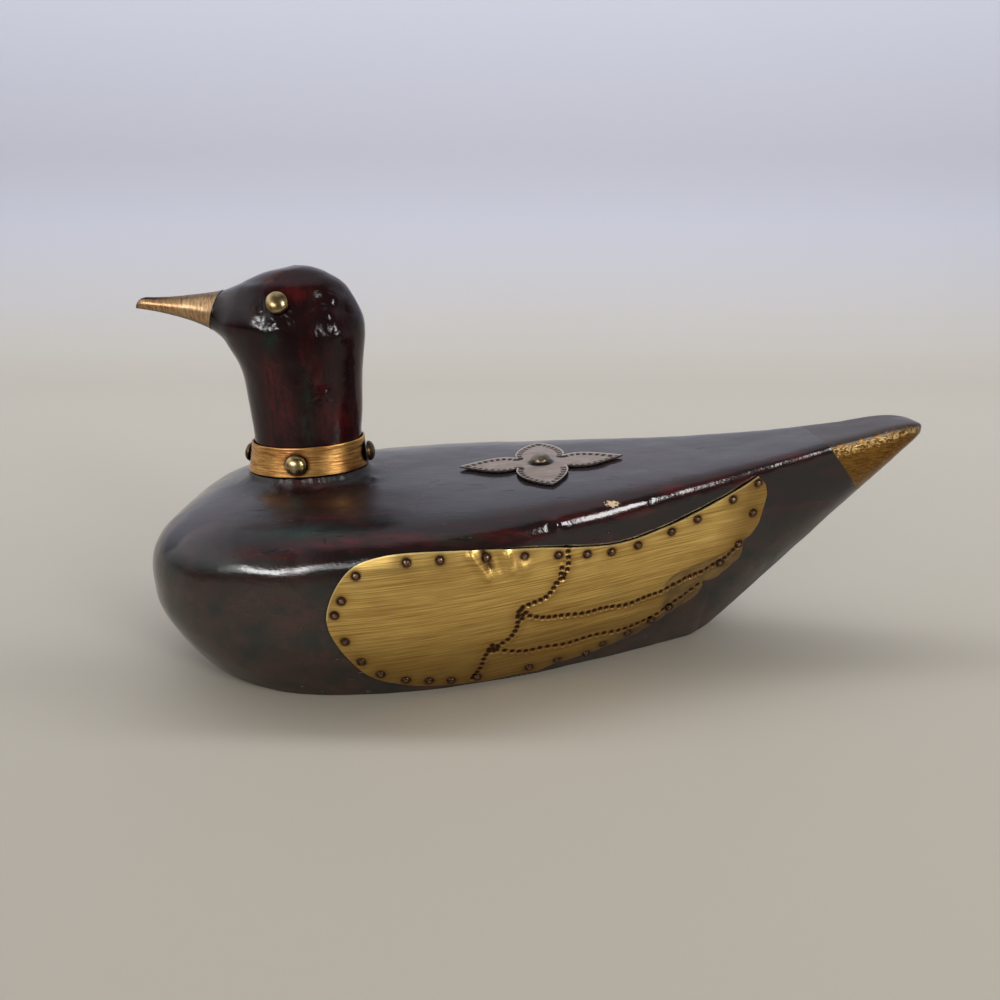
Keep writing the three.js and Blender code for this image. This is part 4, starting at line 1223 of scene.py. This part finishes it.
def wing_sheet(side, name):
    piece, u, v = flat_grid(name, WING_STEPS, WING_ROWS)
    flat = finer(piece, nearest(*on_pattern(u, v), DOTS) < DOT_NEAR) + 0.5
    x, z = on_pattern(flat[:, 0], flat[:, 1])
    dots, pins = nearest(x, z, DOTS), nearest(x, z, ALL_SPOTS)
    under_blade, flap = feathers(x, z)
    rim = nearest(x, z, UPPER_RIM)
    height = LIP_HEIGHT * soft(dots - LIP_AT, 0.5) - DOT_DEPTH * soft(dots, DOT_WIDTH)
    height -= PIN_DISH * soft(pins, PIN_DISH_WIDTH)
    for start, end, wide, lift in STROKES:
        height += lift * soft(from_stroke(x, z, start, end), wide)
    for at_x, at_z, wide, tall, lift in BULGES:
        height += lift * np.exp(-(((x - at_x) / wide) ** 2) - ((z - at_z) / tall) ** 2)
    for lift, size, share in ((*FLAP_WAVES, flap), (*SHEET_WAVES, 1)):
        height += lift * share * wrinkle(x, z, size)
    height -= BLADE_STEP * under_blade
    set_points(piece, on_side(side, x, z, WING_GAP + WING_SHEET + height)[0] * MM)
    # painted shade: the crease of the gouge is painted dark
    gouge = soft(from_stroke(x, z, *STROKES[0][:2]), GOUGE_WIDTH)
    grime_and_shade = np.maximum(fading(dots, *DOT_GRIME), PIN_RING_SHARE * fading(pins, *PIN_RING))
    paint(piece, "grime_and_shade", np.maximum(grime_and_shade, gouge))
    paint(piece, "haze", np.maximum(soft(dots, DOT_HAZE), soft(pins, PIN_HAZE)))
    paint(piece, "flap", flap)
    # painted highlight: a light band along the upper cut edge
    paint(piece, "edge", fading(rim, *EDGE_HIGHLIGHT_REACH))
    # painted shade: the sheet is painted darker towards its lower edge, and also towards its rear tip
    low = fading(z, *DARK_LOW) ** DARK_POWER
    paint(piece, "low", DARK_SHARE * np.maximum(low, growing(x, *DARK_REAR)))
    close_seams()
    modify(piece, "SOLIDIFY", thickness=WING_SHEET * MM, offset=-1.0)
    smooth()
    return piece


WINGS = {}
for side, name in ((LEFT, "left_wing"), (RIGHT, "right_wing")):
    WINGS[name] = wing_sheet(side, name + "_sheet")
    print(name, "triangles", sum(len(face.vertices) - 2 for face in WINGS[name].data.polygons))

# %% [markdown]
# The brass was brushed lengthwise, so its noise is drawn out into long thin lines that lie a little aslant.
# Over it go the marks: painted shade that darkens the sheet towards its lower edge and its rear tip, dull
# feathers, a brown haze round dots and pins, a painted highlight along the upper cut edge, and black grime in
# the dots and round the pins, with painted shade in the crease of the gouge. Each is one more mix over the
# layers before it.

# %% Sheet brass
BRUSH_LINE, BRUSH_TURN = (0.034, 0.034, 0.00052), (0, -0.09, 0)
BRASS_TONES = rgb(155, 120, 60), rgb(230, 194, 114)
CLOUD_TONE, WING_GRIME_AND_SHADE = rgb(148, 108, 51), rgb(60, 40, 26)
# painted shade, darkening the sheet towards its lower edge and rear tip
PAINTED_SHADE_LOW = "low", 0.7, rgb(101, 71, 35)
# the edge layer is a painted highlight along the upper cut edge; flap and haze are the sheet's own tones
WING_WEAR_AND_HIGHLIGHT = [
    ("flap", 0.8, rgb(112, 98, 76)), ("haze", 0.45, rgb(122, 76, 38)), ("edge", 0.7, rgb(250, 228, 160)),
]


def worn_over(tree, colour, mark, share, tone):
    return mixed(tree, span(tree, painted(tree, mark), 0, 1, 0, share), colour, tone)


def sheet_brass():
    finish, tree, shader = new_finish("sheet_brass", Metallic=1.0)
    inputs = {"Vector": laid(tree, BRUSH_LINE, BRUSH_TURN), "Scale": 1.0, "Detail": 5.0, "Roughness": 0.65}
    brushed = node(tree, "ShaderNodeTexNoise", inputs).outputs["Fac"]
    cloudy = noise(tree, (25, 40, 60), (2, 2, 2), detail=3)
    colour = mixed(tree, span(tree, brushed, 0.32, 0.62), *BRASS_TONES)
    colour = worn_over(tree, colour, *PAINTED_SHADE_LOW)
    colour = mixed(tree, span(tree, cloudy, 0.5, 0.75, 0.0, 0.5), colour, CLOUD_TONE)
    for layer in WING_WEAR_AND_HIGHLIGHT:
        colour = worn_over(tree, colour, *layer)
    # grime in the dots and round the pins, and painted shade in the gouge
    colour = mixed(tree, painted(tree, "grime_and_shade"), colour, WING_GRIME_AND_SHADE)
    gloss = span(tree, cloudy, 0.3, 0.7, 0.34, 0.48)
    feed(tree, shader, Base_Color=colour, Roughness=gloss, Normal=bump(tree, brushed, 0.00015, 0.35))
    return finish


SHEET_BRASS = sheet_brass()
for name, sheet in WINGS.items():
    finished(sheet, SHEET_BRASS, "sheet_brass", name)
print("made", SHEET_BRASS.name)

# %% [markdown]
# ## Pins
# A pin has a small round head with a hollow in its middle. One is turned from a circle by extruding and
# scaling rings, then copied to every place on both wings.

# %% Pins
PIN_RINGS = [(1.9, 0.0), (1.85, 0.45), (1.6, 0.72), (1.25, 0.6), (0.85, 0.72), (0.4, 0.92)]
PIN_SINK, PIN_SIDES, PIN_GRIME, PIN_GRIME_SHARE = 0.35, 16, (0.75, 0.4), 0.8
PIN_TONES = rgb(72, 49, 35), rgb(156, 121, 94)


def pin_metal():
    finish, tree, shader = new_finish("pin_metal", Metallic=0.9, Roughness=0.34)
    worn = noise(tree, (700, 700, 700), detail=3)
    colour = mixed(tree, span(tree, worn, 0.35, 0.7), *PIN_TONES)
    feed(tree, shader, Base_Color=mixed(tree, painted(tree, "grime_and_shade"), colour, GRIME_AND_SHADE_TONE))
    return finish


def turned_pin():
    start_alone()
    bpy.ops.mesh.primitive_circle_add(vertices=PIN_SIDES, radius=PIN_RINGS[0][0] * MM, fill_type="NGON")
    piece = called("pin_pattern")
    edit()
    for (before, low), (radius, high) in zip(PIN_RINGS[:-1], PIN_RINGS[1:]):
        bpy.ops.mesh.extrude_region_move(TRANSFORM_OT_translate={"value": (0, 0, (high - low) * MM)})
        bpy.ops.transform.resize(value=(radius / before, radius / before, 1))
    leave_edit()
    close_seams()
    spots = points_of(piece) / MM
    radius = np.hypot(spots[:, 0], spots[:, 1])
    paint(piece, "grime_and_shade", growing(radius, *PIN_GRIME) * PIN_GRIME_SHARE)
    smooth(60)
    return piece


PIN_METAL = pin_metal()
pin = turned_pin()
for wing, side in (("left_wing", LEFT), ("right_wing", RIGHT)):
    for row, row_spots in (("top", TOP_SPOTS), ("lower", LOWER_SPOTS), ("extra", EXTRA_SPOTS)):
        for i, flat in enumerate(row_spots, 1):
            name = f"{wing}_{row}_pin_{i}"
            spot, out = on_side(side, flat[:1], flat[1:], np.array([WING_GAP + WING_SHEET - PIN_SINK]))
            piece = set_copy(pin, name + "_head", spot[0] * MM, out[0])
            finished(piece, PIN_METAL, "pin_metal", *([name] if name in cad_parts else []))
throw_away(pin)
print("pins set")

# %% [markdown]
# ## Flower on the back
# A flower of four pointed petals is cut from thin sheet, with a border of short stamped dashes. Each half of
# a petal is one smooth curve from notch to point. The petals to the sides are blunter, and the near one leans.
# The outline comes first, because a grid that runs out from the tack to it needs no cutting.

# %% Flower outline
FLOWER_LONG, FLOWER_WIDE, NOTCH_X, NOTCH_Y = 39, 33.4, 11.3, 8.2
PETAL_NEAR, PETAL_FAR, PETAL_BLUNT = 0.3, 0.6, 0.84
NEAR_SWELL, FAR_SWELL, BLUNT_LEAN = 14, 8, 3.6
PETAL_STEPS = 84


def bezier(a, b, c, d):
    t = np.linspace(0, 1, PETAL_STEPS + 1)[:-1, None]
    return a * (1 - t) ** 3 + 3 * b * t * (1 - t) ** 2 + 3 * c * t * t * (1 - t) + d * t**3


def petal(turn, tip, along, across, far, lean):
    axis, side = np.array([math.cos(turn), math.sin(turn)]), np.array([-math.sin(turn), math.cos(turn)])
    shares = (0, across), (PETAL_NEAR, NEAR_SWELL), (far, FAR_SWELL)
    left = [axis * lerp(along, tip, share) - side * swell for share, swell in shares]
    right = [axis * lerp(along, tip, share) + side * swell for share, swell in shares]
    point = axis * tip + side * lean
    return [bezier(*left, point), bezier(point, *right[::-1])]


def flower_outline():
    long, wide = (FLOWER_LONG, NOTCH_X, NOTCH_Y, PETAL_FAR), (FLOWER_WIDE, NOTCH_Y, NOTCH_X, PETAL_BLUNT)
    leans = 0, 0, 0, BLUNT_LEAN
    petals = [petal(i * QUARTER, *(wide if i % 2 else long), lean) for i, lean in enumerate(leans)]
    return np.concatenate(sum(petals, []))


FLOWER_OUTLINE = flower_outline()
print("points round the flower", len(FLOWER_OUTLINE))

# %% [markdown]
# The sheet has gone dull grey-brown. Its cut edge is painted nearly black as painted shade, the shadow line
# under the raised sheet. The edge is a second material slot that Solidify gives to the rim, so that the dark
# line stays exactly on the edge. A pale band along the curled edge is a painted highlight. The dashes are
# pressed in and darkened, a dark ring is painted round the tack, and the edge curls up a little.

# %% Flower
FLOWER_ROWS, MIDDLE_SHARE, ROW_CROWD = 44, 0.02, 0.8
DASH_PITCH, DASH_LENGTH, DASH_INSET, DASH_HALF, DASH_DEPTH = 3.5, (0.34, 0.06), 2.0, (1.45, 0.4), 0.35
RING_AT, RING_SOFT, CURL, CURL_WIDTH, LIP_HIGHLIGHT_SHARE, LIP_WIDTH = 5.7, 0.6, 0.45, 0.9, 0.7, 0.45
FLOWER_TONES, EDGE_SHADE_TONES = (rgb(121, 106, 95), rgb(150, 136, 124)), (rgb(16, 11, 10), rgb(52, 42, 38))
LIP_HIGHLIGHT_TONE, DASH_TONE = rgb(190, 182, 172), rgb(18, 12, 11)


def flower_metal():
    finish, tree, shader = new_finish("flower_metal", Metallic=0.5, Roughness=0.5)
    worn = noise(tree, (120, 260, 120), detail=4)
    colour = mixed(tree, span(tree, worn, 0.3, 0.7), *FLOWER_TONES)
    # painted highlight: a pale band along the curled edge
    colour = mixed(tree, painted(tree, "lip"), colour, LIP_HIGHLIGHT_TONE)
    colour = mixed(tree, painted(tree, "grime_and_shade"), colour, DASH_TONE)
    feed(tree, shader, Base_Color=colour, Normal=bump(tree, worn, 0.0002, 0.2))
    return finish


# painted shade: the rim of the sheet is painted nearly black, the shadow line under its edge
def flower_edge_shade():
    finish, tree, shader = new_finish("flower_edge_shade", Metallic=0.4, Roughness=0.5)
    worn = noise(tree, (300, 300, 300), detail=3)
    feed(tree, shader, Base_Color=mixed(tree, worn, *EDGE_SHADE_TONES))
    return finish


def rim_distance(spots, outline, run):
    best, at = np.full(len(spots), 1e9), np.zeros(len(spots))
    for point, here in zip(outline, run):
        away = np.hypot(spots[:, 0] - point[0], spots[:, 1] - point[1])
        closer = away < best
        best, at = np.where(closer, away, best), np.where(closer, here, at)
    return best, at


def cut_flower(outline):
    around = len(outline)
    run = np.concatenate([[0], np.cumsum(np.linalg.norm(np.diff(outline, axis=0), axis=1))])
    piece, u, v = flat_grid("stitched_flower", around, FLOWER_ROWS)
    out = MIDDLE_SHARE + (1 - MIDDLE_SHARE) * v**ROW_CROWD
    spots = outline[np.rint(u * around).astype(int) % around] * out[:, None]
    inset, at = rim_distance(spots, outline, run)
    within = np.abs((at / DASH_PITCH) % 1 - 0.5)
    dash = fading(within, *DASH_LENGTH) * fading(np.abs(inset - DASH_INSET), *DASH_HALF)
    ring = soft(np.maximum(np.linalg.norm(spots, axis=1) - RING_AT, 0), RING_SOFT)
    x = FLOWER_X + spots[:, 0]
    z = back_at(x, spots[:, 1]) + SEAT_GAP + FLOWER_SHEET
    z += CURL * soft(inset, CURL_WIDTH) - DASH_DEPTH * dash
    set_points(piece, np.stack([x, spots[:, 1], z], axis=1) * MM)
    # dark stamped dashes, and a dark ring painted round the tack
    paint(piece, "grime_and_shade", np.maximum(dash, ring))
    # painted highlight along the edge of the sheet
    paint(piece, "lip", LIP_HIGHLIGHT_SHARE * soft(inset, LIP_WIDTH))
    close_seams()
    for finish in (flower_metal(), flower_edge_shade()):
        piece.data.materials.append(finish)
    modify(piece, "SOLIDIFY", thickness=FLOWER_SHEET * MM, offset=-1.0, material_offset_rim=1)
    smooth()
    return piece


finished(cut_flower(FLOWER_OUTLINE), None, "flower_metal", "back_flower")
print("flower laid")

# %% [markdown]
# ## Dowel
# The dowel that joins head and body is sealed inside the neck. Nothing of it shows, so it keeps its solid
# and gets a bare-wood finish.

# %% Dowel
DOWEL_TONES = rgb(150, 112, 70), rgb(200, 164, 116)


def bare_wood():
    finish, tree, shader = new_finish("bare_wood", Roughness=0.65)
    grain = noise(tree, (500, 500, 40), detail=4)
    feed(tree, shader, Base_Color=mixed(tree, span(tree, grain, 0.3, 0.7), *DOWEL_TONES))
    return finish


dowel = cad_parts["neck_dowel"]
dowel.data.materials.clear()
dowel.data.materials.append(bare_wood())
print("dowel finished")

# %% [markdown]
# ## Floor, light and camera
# The stage is a plain pale floor that sweeps up behind the duck: a plane whose rear edge is extruded round a
# bend. The lacquer mirrors the floor in front of it, which would turn the dark sides grey, so mirrored rays
# find that part of the floor dimmer.

# %% Stage
FLOOR, BACKDROP, DIM_FLOOR = rgb(148, 141, 127), rgb(154, 153, 157), rgb(70, 66, 62)
FLOOR_SIDE, FLOOR_FRONT, BEND_FROM = 3, -1.6, 0.62
BEND_STEPS, BEND_RADIUS, BACKDROP_RISE = 12, 0.3, 0.7
DIM_FROM, DIM_RUN, BACKDROP_FULL = -0.24, 0.2, 0.2


def pale_floor():
    finish, tree, shader = new_finish("pale_floor", Roughness=0.7)
    parts = split(tree, places(tree))
    mirrored = node(tree, "ShaderNodeLightPath").outputs["Is Glossy Ray"]
    ahead = sums(tree, "MULTIPLY", mirrored, span(tree, parts["Y"], DIM_FROM, DIM_FROM - DIM_RUN))
    colour = mixed(tree, span(tree, parts["Z"], 0.0, BACKDROP_FULL), FLOOR, BACKDROP)
    feed(tree, shader, Base_Color=mixed(tree, ahead, colour, DIM_FLOOR))
    return finish


def lay_floor():
    start_alone()
    bpy.ops.mesh.primitive_plane_add(size=1)
    piece = called("floor_and_backdrop")
    set_points(piece, [(x, y, 0) for y in (FLOOR_FRONT, BEND_FROM) for x in (-FLOOR_SIDE, FLOOR_SIDE)])
    edit("DESELECT")
    bpy.ops.mesh.select_mode(type="EDGE")
    leave_edit()
    for edge in piece.data.edges:
        edge.select = all(piece.data.vertices[i].co.y > 0 for i in edge.vertices)
    bpy.ops.object.mode_set(mode="EDIT")
    turns = np.linspace(0, QUARTER, BEND_STEPS + 1)
    bends = np.stack([0 * turns, np.sin(turns), 1 - np.cos(turns)], axis=1) * BEND_RADIUS
    for move in (*np.diff(bends, axis=0), np.array([0, 0, BACKDROP_RISE])):
        bpy.ops.mesh.extrude_region_move(TRANSFORM_OT_translate={"value": move.tolist()})
    leave_edit()
    smooth(60)
    piece.data.materials.append(pale_floor())


lay_floor()
print("floor laid")

# %% [markdown]
# Two lamps stand low in front, left and right of the camera, each with a softer glow round it. Their mirror
# images are the lines of light along the shoulder, so their height decides where those lines run, and the gap
# between them leaves the shoulder dark above the wing. One more, hidden from reflections, lights the
# backdrop, which gives the back its grey sheen. The room is dim in front and pale behind, and it is brighter
# to the left, for the top of the breast.

# %% Light
BREAST_AIM, FLANK_AIM, BACKDROP_AIM = (-0.1, 0, 0.08), (0.04, 0, 0.08), (0, 0.95, 0.25)
WHITE, COOL = (1, 1, 1), (0.82, 0.87, 1.0)
LAMPS = [
    ("left_lamp", (-0.62, -0.94, 0.39), BREAST_AIM, (0.30, 0.16), 2.8, WHITE, True),
    ("left_glow", (-0.63, -0.98, 0.40), BREAST_AIM, (0.80, 0.28), 2.2, WHITE, True),
    ("right_lamp", (0.68, -0.81, 0.47), FLANK_AIM, (0.24, 0.38), 4.2, WHITE, True),
    ("right_glow", (0.67, -0.86, 0.48), FLANK_AIM, (0.34, 0.56), 2.4, WHITE, True),
    ("backdrop_lamp", (0.0, 0.3, 1.1), BACKDROP_AIM, (5.0, 0.3), 61.0, COOL, False),
]
FRONT_SKY, REAR_SKY, TOP_SKY = (0.14, 0.13, 0.12, 1), (0.68, 0.70, 0.75, 1), (0.68, 0.70, 0.76, 1)
LEFT_SKY, SEEN_SKY = (1.2, 1.2, 1.25, 1), (0.55, 0.55, 0.56, 1)


def hang_lamp(name, place, aim, size, power, tint, mirrored):
    data = bpy.data.lights.new(name, "AREA")
    data.shape = "RECTANGLE"
    data.size, data.size_y = size
    data.energy, data.color = power, tint
    lamp = bpy.data.objects.new(name, data)
    bpy.context.scene.collection.objects.link(lamp)
    lamp.location = place
    lamp.rotation_euler = (Vector(aim) - Vector(place)).to_track_quat("-Z", "Y").to_euler()
    lamp.visible_camera = False
    lamp.visible_glossy = mirrored


def soft_room():
    world = bpy.data.worlds.new("soft_room")
    world.use_nodes = True
    tree = world.node_tree
    parts = split(tree, node(tree, "ShaderNodeTexCoord").outputs["Generated"])
    sky = mixed(tree, span(tree, parts["Y"], -0.35, 0.6), FRONT_SKY, REAR_SKY)
    left = sums(tree, "MULTIPLY", span(tree, parts["X"], -0.35, -0.75), span(tree, parts["Z"], 0.0, 0.4))
    sky = mixed(tree, left, sky, LEFT_SKY)
    sky = mixed(tree, span(tree, parts["Z"], 0.88, 0.97), sky, TOP_SKY)
    sky = mixed(tree, node(tree, "ShaderNodeLightPath").outputs["Is Camera Ray"], sky, SEEN_SKY)
    feed(tree, tree.nodes["Background"], Color=sky)
    return world


for row in LAMPS:
    hang_lamp(*row)
bpy.context.scene.world = soft_room()
print("lamps hung", len(LAMPS))

# %% [markdown]
# The camera has the angle of the photograph: close to the duck and a little above it, looking down at twenty
# degrees with a wide lens.

# %% Camera
VIEW_PLACE, VIEW_TILT = (-0.0176, -0.3455, 0.1935), math.radians(70)
VIEW_LENS, VIEW_SENSOR = 27.036, 36

view = bpy.data.cameras.new("photo_view")
view.sensor_width, view.lens = VIEW_SENSOR, VIEW_LENS
camera = bpy.data.objects.new("photo_view", view)
bpy.context.scene.collection.objects.link(camera)
camera.location, camera.rotation_euler = VIEW_PLACE, (VIEW_TILT, 0, 0)
bpy.context.scene.camera = camera
bpy.context.scene.view_settings.view_transform = "Standard"
print("camera set")
